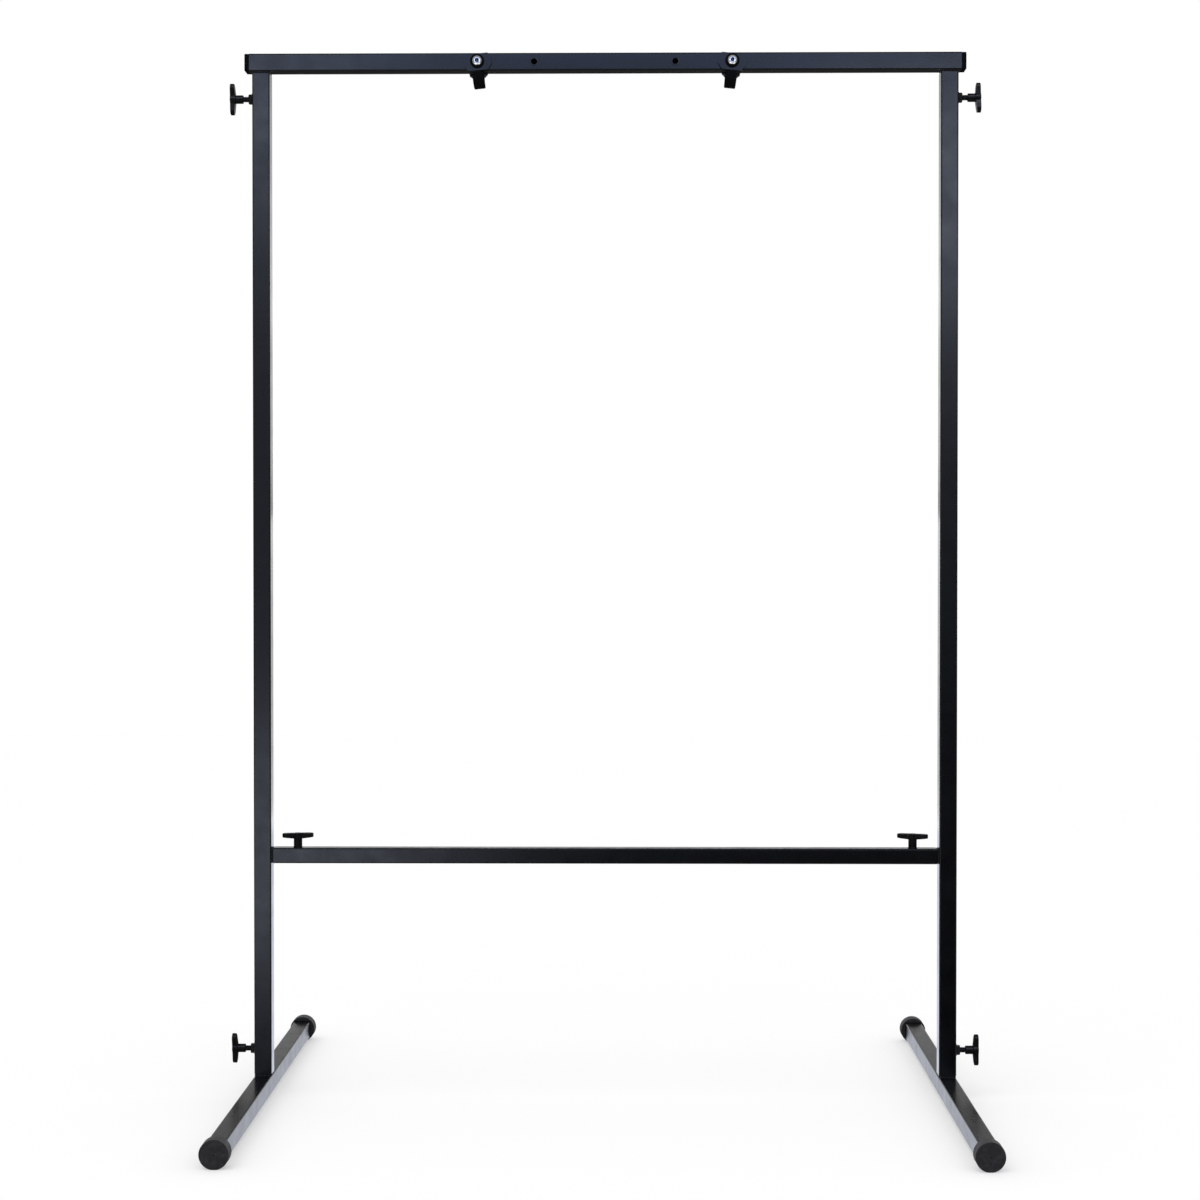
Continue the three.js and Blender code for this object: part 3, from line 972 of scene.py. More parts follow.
@dataclass
class WeldBeads:
    """The rippled weld round the root of each stub, on which the next tube rests."""

    shop: Workshop
    corner: float = 0.0026
    inner_inset: float = 0.0016
    ripple: float = 0.00045
    pitch: float = 0.0048
    steps: int = 320
    profile: Profile = (
        (-0.00005, 0.00005),
        (-0.00015, 0.0004),
        (-0.00025, 0.0009),
        (-0.00030, 0.0014),
        (-0.00045, 0.0019),
        (-0.00080, 0.0024),
        (-0.00120, 0.00268),
    )

    def ring(self, side: float, out: float, z: float, phase: float) -> RingPlace:
        """Gives a rippled ring round a square.

        Args:
            side: Width of the square.
            out: How far the ring stands proud of it.
            z: Height above the root.
            phase: Shift of the ripples, so that they lean.

        Returns:
            The place of each vertex of the ring.
        """
        corner = self.corner + out
        half = side / 2 + out
        run = 2 * (half - corner)
        quarter = run + corner * math.pi / 2
        waves = round(4 * quarter / self.pitch)

        def place(index: int, count: int) -> Vector:
            """Places one vertex of the ring.

            Args:
                index: Its number on the way round.
                count: How many vertices go round.

            Returns:
                Its place in the piece's own frame.
            """
            share = index / count
            quadrant, rest = divmod(share * 4, 1.0)
            walked = rest * quarter
            swell = self.ripple * math.cos(math.tau * (share * waves + phase))
            if walked < run:
                spot = Vector((half + swell, walked - run / 2, z))
            else:
                angle = (walked - run) / corner
                middle = half - corner
                reach = corner + swell
                spot = Vector(
                    (middle + reach * math.cos(angle), middle + reach * math.sin(angle), z)
                )
            return Matrix.Rotation(math.radians(90) * quadrant, 3, "Z") @ spot

        return place

    def build(self) -> None:
        """Makes every bead."""
        for side in Side:
            for where, out in (("foot", Z_AXIS), ("beam", -Z_AXIS), ("crossbar", -side.outwards)):
                node = f"{side.word}_{where}_weld"
                box = Box.of(node)
                width = max(box.size)
                inner = width - 2 * self.inner_inset
                rings = [
                    self.ring(width, reach, z, z / self.pitch / 2) for reach, z in self.profile
                ]
                rings += [
                    self.ring(inner, 0.0, z, 0.0) for _, z in (self.profile[-1], self.profile[0])
                ]
                form = Form().loft(rings, self.steps, joined=True)
                place = seat(box.face(-out), out, Y_AXIS)
                self.shop.fit(form.finish(f"{node}_bead", place, BLUNT_CREASE), node)


@dataclass
class FootCaps:
    """The round rubber caps over the square ends of the feet."""

    shop: Workshop
    radius: float = 0.01925
    axis_height: float = 0.019
    length: float = 0.022
    face: float = 0.003
    edge: float = 0.0014
    mouth_edge: float = 0.0005
    socket: float = 0.0255
    socket_corner: float = 0.00225
    face_share: float = 0.82
    dimple: float = 0.0014
    dimple_depth: float = 0.0016
    # Of each ring of the dimple: the shares of its radius and its depth.
    dimple_profile: Profile = ((1.5, 0.0), (1.15, 0.15), (0.9, 0.6), (0.5, 1.0))
    steps: int = 96

    def rings(self) -> list[RingPlace]:
        """Gives the cap's cross-sections.

        Returns:
            Its rings, from the bottom of its socket round to its dimple.
        """
        floor = -self.axis_height
        deep = self.length - self.face
        rings = [
            rounded_square(self.socket, self.socket_corner, deep),
            rounded_square(self.socket, self.socket_corner, self.mouth_edge),
            rounded_square(
                self.socket + 2 * self.mouth_edge, self.socket_corner + self.mouth_edge, 0.0
            ),
        ]
        for sine, cosine in quarter(3):
            inset = self.mouth_edge * (1 - sine)
            height = self.mouth_edge * (1 - cosine)
            rings.append(circle(self.radius - inset, height, floor + inset))
        for sine, cosine in quarter(5):
            inset = self.edge * (1 - cosine)
            height = self.length - self.edge * (1 - sine)
            rings.append(circle(self.radius - inset, height, floor + inset))
        rings.append(circle(self.radius * self.face_share, self.length, floor + self.edge * 2))
        rings += [
            circle(self.dimple * radius, self.length - self.dimple_depth * depth)
            for radius, depth in self.dimple_profile
        ]
        return rings

    def build(self) -> None:
        """Makes the four caps."""
        for side in Side:
            for end, out, across in (("front", FRONT, X_AXIS), ("rear", Y_AXIS, -X_AXIS)):
                node = f"{side.word}_{end}_foot_cap"
                box = Box.of(node)
                mouth = box.face(out) - out * self.length
                mouth.z = box.low.z + self.axis_height
                form = Form().loft(self.rings(), self.steps)
                self.shop.fit(form.finish(f"{node}_rubber", seat(mouth, out, across)), node)


@dataclass
class EndPlugs:
    """The plastic plugs in the beam's ends: a rounded head and a ribbed insert."""

    shop: Workshop
    head: float = 0.0065
    head_side: float = 0.0245
    corner: float = 0.002
    edge: float = 0.0014
    foot_edge: float = 0.0007
    insert: float = 0.020
    core_side: float = 0.0185
    rib_side: float = 0.0219
    rib_width: float = 0.0015
    rib_heights: tuple[float, ...] = (-0.0062, -0.0124, -0.0186)

    def build(self) -> None:
        """Makes both plugs."""
        for side in Side:
            node = f"{side.word}_beam_plug"
            root = Box.of(node).face(side.outwards) - side.outwards * self.head
            form = Form().block(self.head_side, self.head_side, 0.0, self.head)
            form.round_off(self.corner, 5, form.upright_edges())
            top = [e for e in form.bm.edges if all(v.co.z > self.head - MERGE for v in e.verts)]
            form.round_off(self.edge, 5, top)
            foot = [e for e in form.bm.edges if all(v.co.z < MERGE for v in e.verts)]
            form.round_off(self.foot_edge, 4, foot)
            insert = Form().block(self.core_side, self.core_side, -self.insert, 0.0)
            insert.round_off(self.edge, 3, insert.upright_edges())
            for z in self.rib_heights:
                insert.block(self.rib_side, self.rib_side, z, z + self.rib_width)
            place = seat(root, side.outwards, FRONT)
            self.shop.fit(insert.finish(f"{node}_insert", place), node, Slot.WASHER)
            self.shop.fit(form.finish(f"{node}_head", place), node, Slot.WASHER)


@dataclass
class Nuts:
    """Welded hexagon nuts, rivet nuts and the collar nuts of the crossbar."""

    shop: Workshop
    flats: float = 0.013
    hexagon_turn: float = 30.0
    height: float = 0.00625
    chamfer: float = 0.0008
    bore: float = 0.00425
    bead_out: float = 0.0026
    bead_height: float = 0.0021
    bead_ripple: float = 0.00014
    bead_waves: int = 17
    # Strength and phase of the slow swell that the ripples ride on.
    bead_swell: tuple[float, float] = (1.8, 0.6)
    # Of each ring of the bead: the shares of its width, its height and its ripples.
    bead_profile: tuple[tuple[float, float, float], ...] = (
        (1.0, 0.0, 1.0),
        (0.97, 0.3, 1.0),
        (0.8, 0.62, 0.9),
        (0.5, 0.88, 0.7),
        (0.1, 1.0, 0.3),
    )
    bead_inside: float = 0.85
    flange: float = 0.006
    flange_height: float = 0.0008
    barrel: float = 0.0052
    rivet_length: float = 0.013
    collar: float = 0.0065
    collar_height: float = 0.0014
    tube_wall: float = 0.00125
    steps: int = 96

    def hexagon_nut(self) -> Form:
        """Makes a chamfered hexagon nut with an open bore.

        Returns:
            The nut's form, with its foot at Z 0.
        """
        cone = self.flats / math.sqrt(3) - self.chamfer
        rings = [
            circle(self.bore, 0.0),
            hexagon(self.flats, 0.0),
            hexagon(self.flats, self.height, cone),
            hexagon(self.flats, self.height, cone, trimmed=True),
            circle(self.bore + self.chamfer / 2, self.height),
            circle(self.bore, self.height - self.chamfer / 2),
        ]
        return Form().loft(rings, self.steps, joined=True)

    def bead(self) -> Form:
        """Makes the uneven weld bead round the nut's foot.

        Returns:
            The bead's form, with its foot at Z 0.
        """

        def ring(reach: float, z: float, share: float) -> RingPlace:
            """Gives one rippled ring of the bead.

            Args:
                reach: The ring's radius before it is rippled.
                z: Its height above the foot.
                share: How much of the full ripple it has.

            Returns:
                The place of each vertex of the ring.
            """

            def place(index: int, count: int) -> Vector:
                """Places one vertex of the ring.

                Args:
                    index: Its number on the way round.
                    count: How many vertices go round.

                Returns:
                    Its place in the piece's own frame.
                """
                angle = math.tau * index / count
                ripple = math.cos(self.bead_waves * angle + share * math.pi)
                swell = strength * math.sin(2 * angle + phase) + math.sin(3 * angle)
                out = reach + self.bead_ripple * (ripple + swell) * share
                return polar(out, angle, z)

            return place

        strength, phase = self.bead_swell
        root = self.flats / 2
        rings = [
            ring(root + self.bead_out * out, self.bead_height * up, share)
            for out, up, share in self.bead_profile
        ]
        inside = root * self.bead_inside
        rings += [circle(inside, self.bead_height), circle(inside, 0.0)]
        return Form().loft(rings, self.steps * 2, joined=True)

    def flanged(self, length: float, flange: float, height: float, edge: float) -> Form:
        """Makes a nut with a plain bore and a flange, which is pressed into a wall.

        Args:
            length: How far its barrel goes in.
            flange: Radius of the flange.
            height: Height of the flange.
            edge: How far its edges are rounded.

        Returns:
            The nut's form, with the wall's face at Z 0.
        """
        profile = [
            (self.bore, -length),
            (self.barrel, -length),
            (self.barrel, 0.0),
            (flange, 0.0),
            (flange, height),
            (self.bore, height),
            (self.bore, -length),
        ]
        return Form().spin(profile, self.steps // 2).round_off(edge, 3)

    def build(self) -> None:
        """Makes every nut."""
        rivet = (self.rivet_length, self.flange, self.flange_height, self.flange_height / 4)
        collar = (self.tube_wall, self.collar, self.collar_height, self.flange_height / 3)
        for side in Side:
            for level in ("lower", "upper"):
                node = f"{side.word}_{level}_weld_nut"
                place = seat(Box.of(node).face(-side.outwards), side.outwards, FRONT)
                turned = place @ Matrix.Rotation(math.radians(self.hexagon_turn), 4, "Z")
                hexagon_piece = self.hexagon_nut().finish(f"{node}_hexagon", turned, KEEN_CREASE)
                self.shop.fit(hexagon_piece, node)
                self.shop.fit(self.bead().finish(f"{node}_bead", place, BLUNT_CREASE), node)
            for kind, shape, out, across in (
                ("spare_rivet_nut", rivet, FRONT, X_AXIS),
                ("crossbar_nut", collar, Z_AXIS, FRONT),
            ):
                node = f"{side.word}_{kind}"
                root = Box.of(node).face(out) - out * shape[2]
                piece = self.flanged(*shape).finish(f"{node}_steel", seat(root, out, across))
                self.shop.fit(piece, node)


@dataclass
class WingKnobs:
    """The moulded two-winged knobs and the threaded studs in them."""

    shop: Workshop
    end_ring: float = 0.0156
    end_radius: float = 0.0065
    waist_radius: float = 0.060
    edge: float = 0.0006
    hub_radius: float = 0.006
    hub_length: float = 0.0127
    hub_chamfer: float = 0.0006
    flare: float = 0.0009
    flare_height: float = 0.0012
    head_height: float = 0.0059
    crown: float = 0.0004
    undercut: float = 0.0018
    # Shares of the hub's chamfer, of the flare, and of the edge at the boss and on the face.
    chamfer_bulge: float = 0.3
    flare_reach: float = 0.9
    boss_inset: float = 0.1
    face_inset: float = 1.6
    # Radius and depth of each ring of the round mark on the outer face.
    mark: Profile = (
        (0.0042, 0.0),
        (0.0039, 0.0003),
        (0.0035, 0.0003),
        (0.0032, 0.0),
        (0.0010, 0.0),
    )
    bore: float = 0.00425
    bore_depth: float = 0.0139
    stud_radius: float = 0.004
    stud_depth: float = 0.0135
    thread_pitch: float = 0.00125
    thread_depth: float = 0.00062
    thread_steps: int = 40
    steps: int = 200
    turns: dict[str, float] = field(
        default_factory=lambda: {
            "left_upper": 6.0,
            "right_upper": 12.0,
            "left_lower": 12.0,
            "right_lower": 0.0,
            "left_crossbar": -11.0,
            "right_crossbar": 17.0,
        }
    )

    @property
    def tip(self) -> float:
        """Distance from the axis to a wing's end."""
        return self.end_ring + self.end_radius

    @property
    def top(self) -> float:
        """Height of the middle of the knob's outer face."""
        return self.hub_length + self.head_height

    def wings(self, inset: float, lift: Callable[[float], float], boss: float = 0.0) -> RingPlace:
        """Gives a ring in the outline of the two wings.

        Args:
            inset: How far the ring is drawn in from the outline.
            lift: Height of a point by its distance from the axis.
            boss: Radius of a round middle that the outline goes round.

        Returns:
            The place of each vertex of the ring.
        """
        touch = self.end_radius + self.waist_radius
        waist_ring = math.sqrt(touch**2 - self.end_ring**2)
        swing = math.pi / 2 + math.atan2(self.end_ring, waist_ring)
        end, waist = self.end_radius - inset, self.waist_radius + inset
        change = math.atan2(end * math.sin(swing), self.end_ring + end * math.cos(swing))

        def place(index: int, count: int) -> Vector:
            """Places one vertex of the ring.

            Args:
                index: Its number on the way round.
                count: How many vertices go round.

            Returns:
                Its place in the piece's own frame.
            """
            share = math.tau * index / count
            angle = math.atan2(math.sin(share) * self.end_radius, math.cos(share) * self.tip)
            off = abs((angle + math.pi / 2) % math.pi - math.pi / 2)
            if off < change:
                sine = self.end_ring * math.sin(off)
                reach = self.end_ring * math.cos(off) + math.sqrt(max(end**2 - sine**2, 0.0))
            else:
                sine = waist_ring * math.sin(math.pi / 2 - off)
                reach = waist_ring * math.cos(math.pi / 2 - off) - math.sqrt(waist**2 - sine**2)
            reach = max(reach, boss)
            return polar(reach, angle, lift(reach))

        return place

    def knob(self) -> Form:
        """Makes a knob on its axis.

        Returns:
            The knob's form, with its hub's foot at Z 0.
        """
        foot = self.hub_length - self.undercut
        flare_foot = foot - self.flare_height
        boss = self.hub_radius + self.flare
        bulge = self.hub_chamfer * self.chamfer_bulge

        def under(radius: float) -> float:
            """Height of the wings' underside."""
            share = max(radius - self.hub_radius, 0.0) / (self.tip - self.hub_radius)
            return foot + self.undercut * min(share, 1.0)

        def over(radius: float) -> float:
            """Height of the wings' outer face."""
            return self.top - self.crown * (radius / self.tip) ** 2

        rings = [
            circle(self.bore, self.bore_depth),
            circle(self.bore, self.hub_chamfer / 2),
            circle(self.bore + self.hub_chamfer / 2, 0.0),
            circle(self.hub_radius - self.hub_chamfer, 0.0),
            circle(self.hub_radius - bulge, bulge),
            circle(self.hub_radius, self.hub_chamfer),
            circle(self.hub_radius, flare_foot),
        ]
        for sine, cosine in quarter(4, 1):
            radius = self.hub_radius + self.flare * (1 - cosine) * self.flare_reach
            rings.append(circle(radius, flare_foot + self.flare_height * sine))
        for sine, cosine in quarter(4):
            inset, rise = self.edge * (1 - sine), self.edge * (1 - cosine)
            waist = boss - inset * self.boss_inset
            rings.append(self.wings(inset, lambda r, rise=rise: under(r) + rise, waist))
        for sine, cosine in quarter(4):
            inset, drop = self.edge * (1 - cosine), self.edge * (1 - sine)
            rings.append(self.wings(inset, lambda r, drop=drop: over(r) - drop, boss - inset))
        inset = self.edge * self.face_inset
        rings.append(self.wings(inset, over, boss - inset))
        rings += [circle(radius, over(radius) - depth) for radius, depth in self.mark]
        return Form().loft(rings, self.steps)

    def stud(self, reach: float) -> Form:
        """Makes a threaded stud.

        Args:
            reach: Its length below the hub's foot.

        Returns:
            The stud's form, with the hub's foot at Z 0.
        """
        low = -reach - self.thread_pitch
        turns = math.ceil((reach + self.stud_depth) / self.thread_pitch) + 2
        root = self.stud_radius - self.thread_depth
        flat = self.thread_pitch / 8
        shape = (
            (root, 0.0),
            (root, flat * 2),
            (self.stud_radius, self.thread_pitch / 2),
            (self.stud_radius, self.thread_pitch / 2 + flat),
            (root, self.thread_pitch),
        )
        ridge = [(radius, low + z) for radius, z in shape]
        form = Form().spin(ridge, self.thread_steps, turns, self.thread_pitch)
        bmesh.ops.remove_doubles(form.bm, verts=form.bm.verts, dist=MERGE * 5)
        for z, out in ((-reach, -Z_AXIS), (self.stud_depth, Z_AXIS)):
            cut = bmesh.ops.bisect_plane(
                form.bm,
                geom=form.bm.verts[:] + form.bm.edges[:] + form.bm.faces[:],
                dist=MERGE / 10,
                plane_co=(0.0, 0.0, z),
                plane_no=out,
                clear_outer=True,
            )["geom_cut"]
            rim = [part for part in cut if isinstance(part, bmesh.types.BMEdge)]
            bmesh.ops.holes_fill(form.bm, edges=rim, sides=0)
        return form

    def build(self) -> None:
        """Makes every knob and stud."""
        for side in Side:
            for where in ("lower", "upper", "crossbar"):
                name = f"{side.word}_{where}"
                out = Z_AXIS if where == "crossbar" else side.outwards
                stud_box = Box.of(f"{name}_knob_stud")
                axis = stud_box.middle
                foot = axis + out * (Box.of(f"{name}_knob").face(-out) - axis).dot(out)
                place = seat(foot, out, FRONT)
                turned = place @ Matrix.Rotation(math.radians(90 - self.turns[name]), 4, "Z")
                self.shop.fit(self.knob().finish(f"{name}_knob_moulding", turned), f"{name}_knob")
                stud = self.stud(stud_box.reach(out) - self.stud_depth)
                piece = stud.finish(f"{name}_knob_thread", place, KEEN_CREASE)
                self.shop.fit(piece, f"{name}_knob_stud")


@dataclass(frozen=True)
class Leg:
    """One stretch of a bent line: a straight run, or a turn in degrees round a radius."""

    run: float = 0.0
    turn: float = 0.0
    radius: float = 0.0

    @property
    def length(self) -> float:
        """Length along the line."""
        return self.run + abs(math.radians(self.turn)) * self.radius


@dataclass(frozen=True)
class BentLine:
    """A line of straight runs and round bends in the Y-Z plane."""

    start: tuple[float, float]
    heading: float
    legs: tuple[Leg, ...]

    @property
    def length(self) -> float:
        """The whole line's length."""
        return sum(leg.length for leg in self.legs)

    def at(self, distance: float) -> tuple[Vector, Vector]:
        """Gives the place and the left-hand normal at a distance along the line.

        Args:
            distance: How far along, from the start.

        Returns:
            The point and the unit normal, both with X 0.
        """
        spot = Vector((0.0, *self.start))
        angle = math.radians(self.heading)
        left = distance
        for leg in self.legs:
            part = min(max(left, 0.0), leg.length)
            if leg.turn:
                way = math.copysign(1.0, leg.turn)
                normal = Vector((0.0, -math.sin(angle), math.cos(angle)))
                centre = spot + normal * (way * leg.radius)
                angle += way * part / leg.radius
                normal = Vector((0.0, -math.sin(angle), math.cos(angle)))
                spot = centre - normal * (way * leg.radius)
            else:
                spot = spot + Vector((0.0, math.cos(angle), math.sin(angle))) * part
            left -= leg.length
            if left <= 0:
                break
        return spot, Vector((0.0, -math.sin(angle), math.cos(angle)))

    def stops(self, run_step: float, turn_step: float) -> list[float]:
        """Gives distances along the line, close together in the bends.

        Args:
            run_step: Greatest distance between stops on a straight run.
            turn_step: Greatest angle between stops in a bend.

        Returns:
            The distances, from 0 to the line's length.
        """
        found = [0.0]
        for leg in self.legs:
            if leg.turn:
                count = math.ceil(abs(leg.turn) / turn_step)
            else:
                count = math.ceil(leg.run / run_step)
            begin = found[-1]
            found += [begin + leg.length * (step + 1) / count for step in range(count)]
        return found


def interpolate(table: Sequence[tuple[float, float]], value: float) -> float:
    """Reads a table, linearly between its pairs.

    Args:
        table: Pairs of place and result, in falling order of place.
        value: The place to read at.

    Returns:
        The result there, or that of the nearest end past it.
    """
    for (high, first), (low, second) in zip(table, table[1:]):
        if value >= low:
            share = (high - value) / (high - low)
            return first + (second - first) * min(max(share, 0.0), 1.0)
    return table[-1][1]


@dataclass
class Hangers:
    """The swinging hooks: bent strap, sleeve, washer and bolt."""

    shop: Workshop
    lean: float = 6.0
    thickness: float = 0.0025
    bend: float = 0.00275
    width: float = 0.040
    top: float = 0.0106
    top_share: float = 0.78
    shoulder: float = 0.0057
    waist: float = -0.0046
    web_width: float = 0.026
    web_drop: float = 0.01425
    web_run: float = 0.010
    hook_bend: float = 0.010
    hook_foot: float = 0.0364
    hook_tip: float = 0.017
    hook_width: float = 0.0128
    taper_end: float = 0.024
    strap_edge: float = 0.0010
    strap_gap: float = 0.0003
    cells_across: int = 14
    run_step: float = 0.0012
    turn_step: float = 9.0
    tip_step: int = 8
    least_half: float = 0.0004
    sleeve_gap: float = 0.0003
    sleeve_wall: float = 0.0013
    sleeve_top: float = 0.017
    sleeve_foot: float = 0.0156
    sleeve_wrap: float = 130.0
    sleeve_lip: float = 0.0003
    sleeve_lip_inset: float = 0.0002
    sleeve_mouth: float = 0.004
    sleeve_least: tuple[float, float] = (0.0006, 0.0004)
    # The sleeve's corners, as a share of its wall and at most of its half width.
    sleeve_corner: float = 1.1
    sleeve_roundest: float = 0.9
    sleeve_run_step: float = 0.0015
    sleeve_turn_step: float = 6.0
    sleeve_crest_turns: tuple[int, ...] = tuple(range(4, 90, 6))
    sleeve_crease: float = 50.0
    sleeve_steps: int = 48
    washer_radius: float = 0.010
    washer_thickness: float = 0.0016
    washer_edge: float = 0.0004
    shank: float = 0.004
    shank_length: float = 0.020
    shank_chamfer: float = 0.0009
    bore: float = 0.00425
    head_radius: float = 0.007
    head_height: float = 0.0044
    head_rim: float = 0.0011
    head_edge: float = 0.0003
    rim_share: float = 0.8
    bolt_crease: float = 30.0
    socket_flats: float = 0.005
    socket_edge: float = 0.0002
    socket_lip: float = 0.00015
    socket_depth: float = 0.0026
    socket_point: tuple[float, float] = (0.0003, 0.0007)
    # How much painted shade the socket's sides and its drilled point get.
    socket_grime: tuple[float, float] = (1.0, 0.75)
    # Shares of the socket's width: where its mouth is trimmed, where its drilled point begins,
    # and within which radii shade is painted into the socket.
    socket_trim: float = 1.02
    socket_drill: float = 0.36
    grime_reach: tuple[float, float] = (0.3, 1.05)
    steps: int = 72
    strap_y: float = field(init=False, default=0.0)

    @property
    def web_line(self) -> float:
        """Height of the web's middle line from the bolt."""
        return -self.web_drop - self.thickness / 2

    @property
    def hook_turn(self) -> float:
        """Height at which the hook's round part begins."""
        return self.hook_bend - self.hook_foot

    def strap_line(self) -> BentLine:
        """Gives the strap's middle line.

        Returns:
            The line, from the strap's top edge to the hook's tip.
        """
        return BentLine(
            (self.strap_y, self.top),
            -90.0,
            (
                Leg(run=self.top - self.web_line - self.bend),
                Leg(turn=90.0, radius=self.bend),
                Leg(run=self.web_run - 2 * self.bend),
                Leg(turn=-90.0, radius=self.bend),
                Leg(run=self.web_line - self.bend - self.hook_turn),
                Leg(turn=-180.0, radius=self.hook_bend),
                Leg(run=-self.hook_tip - self.hook_turn),
            ),
        )

    def strap_half(self, spot: Vector, from_tip: float, past_web: bool) -> float:
        """Gives half the strap's width.

        Args:
            spot: The place on the strap's middle line.
            from_tip: Distance along the strap to the hook's tip.
            past_web: Whether the place lies beyond the middle of the web.

        Returns:
            Half the width there.
        """
        full, web, hook = self.width / 2, self.web_width / 2, self.hook_width / 2
        if from_tip < hook:
            return math.sqrt(max(hook**2 - (hook - from_tip) ** 2, 0.0))
        if past_web:
            return interpolate(((self.web_line - self.bend, web), (-self.taper_end, hook)), spot.z)
        table = (
            (self.top, full * self.top_share),
            (self.shoulder, full),
            (self.waist, full),
            (-self.web_drop, web),
        )
        return interpolate(table, spot.z)

    def strap(self) -> Form:
        """Makes the bent strap.

        Returns:
            The strap's form, with its bolt's axis through the origin.
        """
        line = self.strap_line()
        tip = line.length
        web_middle = line.legs[0].length + line.legs[1].length + line.legs[2].length / 2
        tip_turns = [math.radians(degrees) for degrees in range(0, 90, self.tip_step)]
        fine = [tip - self.hook_width / 2 * (1 - math.cos(turn)) for turn in tip_turns]
        coarse = [stop for stop in line.stops(self.run_step, self.turn_step) if stop < fine[-1]]
        corners = {self.top - self.shoulder, self.top - self.waist}
        stops = sorted({round(stop, 7) for stop in coarse + fine} | corners)
        rows = len(stops) - 1
        form = Form()
        grid = bmesh.ops.create_grid(
            form.bm, x_segments=self.cells_across, y_segments=rows, size=0.5
        )["verts"]
        thick: dict[int, Vector] = {}
        for vert in grid:
            row = round((vert.co.y + 0.5) * rows)
            spot, normal = line.at(stops[row])
            half = self.strap_half(spot, tip - stops[row], stops[row] > web_middle)
            across = 2 * vert.co.x * max(half, self.least_half)
            vert[form.order] = row
            thick[row] = normal
            vert.co = spot + normal * (self.thickness / 2) + X_AXIS * across
        grown = bmesh.ops.extrude_face_region(form.bm, geom=form.bm.faces[:])["geom"]
        for part in grown:
            if isinstance(part, bmesh.types.BMVert):
                part.co = part.co - thick[part[form.order]] * self.thickness
        return form.round_off(self.strap_edge, 4)

    def sleeve(self) -> Form:
        """Makes the sleeve over the hook's tip and foot.

        Returns:
            The sleeve's form, in the strap's own frame.
        """
        half_depth = self.thickness / 2 + self.sleeve_gap + self.sleeve_wall
        top = -self.hook_tip + self.sleeve_gap + self.sleeve_wall
        leg_y = self.strap_y + self.web_run - 2 * self.hook_bend
        line = BentLine(
            (leg_y, top),
            -90.0,
            (
                Leg(run=top - self.hook_turn),
                Leg(turn=self.sleeve_wrap, radius=self.hook_bend),
            ),
        )
        crest = self.sleeve_top / 2

        def ring(distance: float, draw_in: float = 0.0) -> RingPlace:
            """Gives the sleeve's cross-section at one place.

            Args:
                distance: How far along the sleeve's line the place is.
                draw_in: How far inside the outer surface it lies.

            Returns:
                The place of each vertex of the cross-section.
            """
            spot, normal = line.at(distance)
            if distance < crest:
                half = math.sqrt(max(crest**2 - (crest - distance) ** 2, 0.0))
            else:
                share = (distance - crest) / (line.length - crest)
                half = (self.sleeve_top + (self.sleeve_foot - self.sleeve_top) * share) / 2
            blunt = min(distance / self.sleeve_wall, 1.0)
            depth = half_depth - self.sleeve_wall * (1 - math.sqrt(1 - (1 - blunt) ** 2))
            least_half, least_depth = self.sleeve_least
            half = max(half - draw_in, least_half)
            depth = max(depth - draw_in, least_depth)
            roundest = min(half, depth) * self.sleeve_roundest
            corner = min(self.sleeve_wall * self.sleeve_corner, roundest)
            square = rounded_square(2 * depth, corner, 0.0)

            def place(index: int, count: int) -> Vector:
                """Places one vertex of the cross-section.

                Args:
                    index: Its number on the way round.
                    count: How many vertices go round.

                Returns:
                    Its place in the piece's own frame.
                """
                flat = square(index, count)
                shift = math.copysign(half - depth, flat.x)
                return spot + X_AXIS * (flat.x + shift) + normal * flat.y

            return place

        start = [crest * (1 - math.cos(math.radians(turn))) for turn in self.sleeve_crest_turns]
        rest = line.stops(self.sleeve_run_step, self.sleeve_turn_step)
        stops = start + [stop for stop in rest if stop > start[-1]]
        end, wall = line.length, self.sleeve_wall
        rings = [ring(distance) for distance in stops[:-1]]
        rings += [ring(end - self.sleeve_lip), ring(end, self.sleeve_lip_inset)]
        rings += [ring(end, wall), ring(end - self.sleeve_mouth, wall)]
        return Form().loft(rings, self.sleeve_steps)

    def washer(self) -> Form:
        """Makes the washer.

        Returns:
            The washer's form, with its back at Z 0.
        """
        form = Form().spin(
            [
                (self.bore, 0.0),
                (self.washer_radius, 0.0),
                (self.washer_radius, self.washer_thickness),
                (self.bore, self.washer_thickness),
                (self.bore, 0.0),
            ],
            self.steps,
        )
        return form.round_off(self.washer_edge, 3)

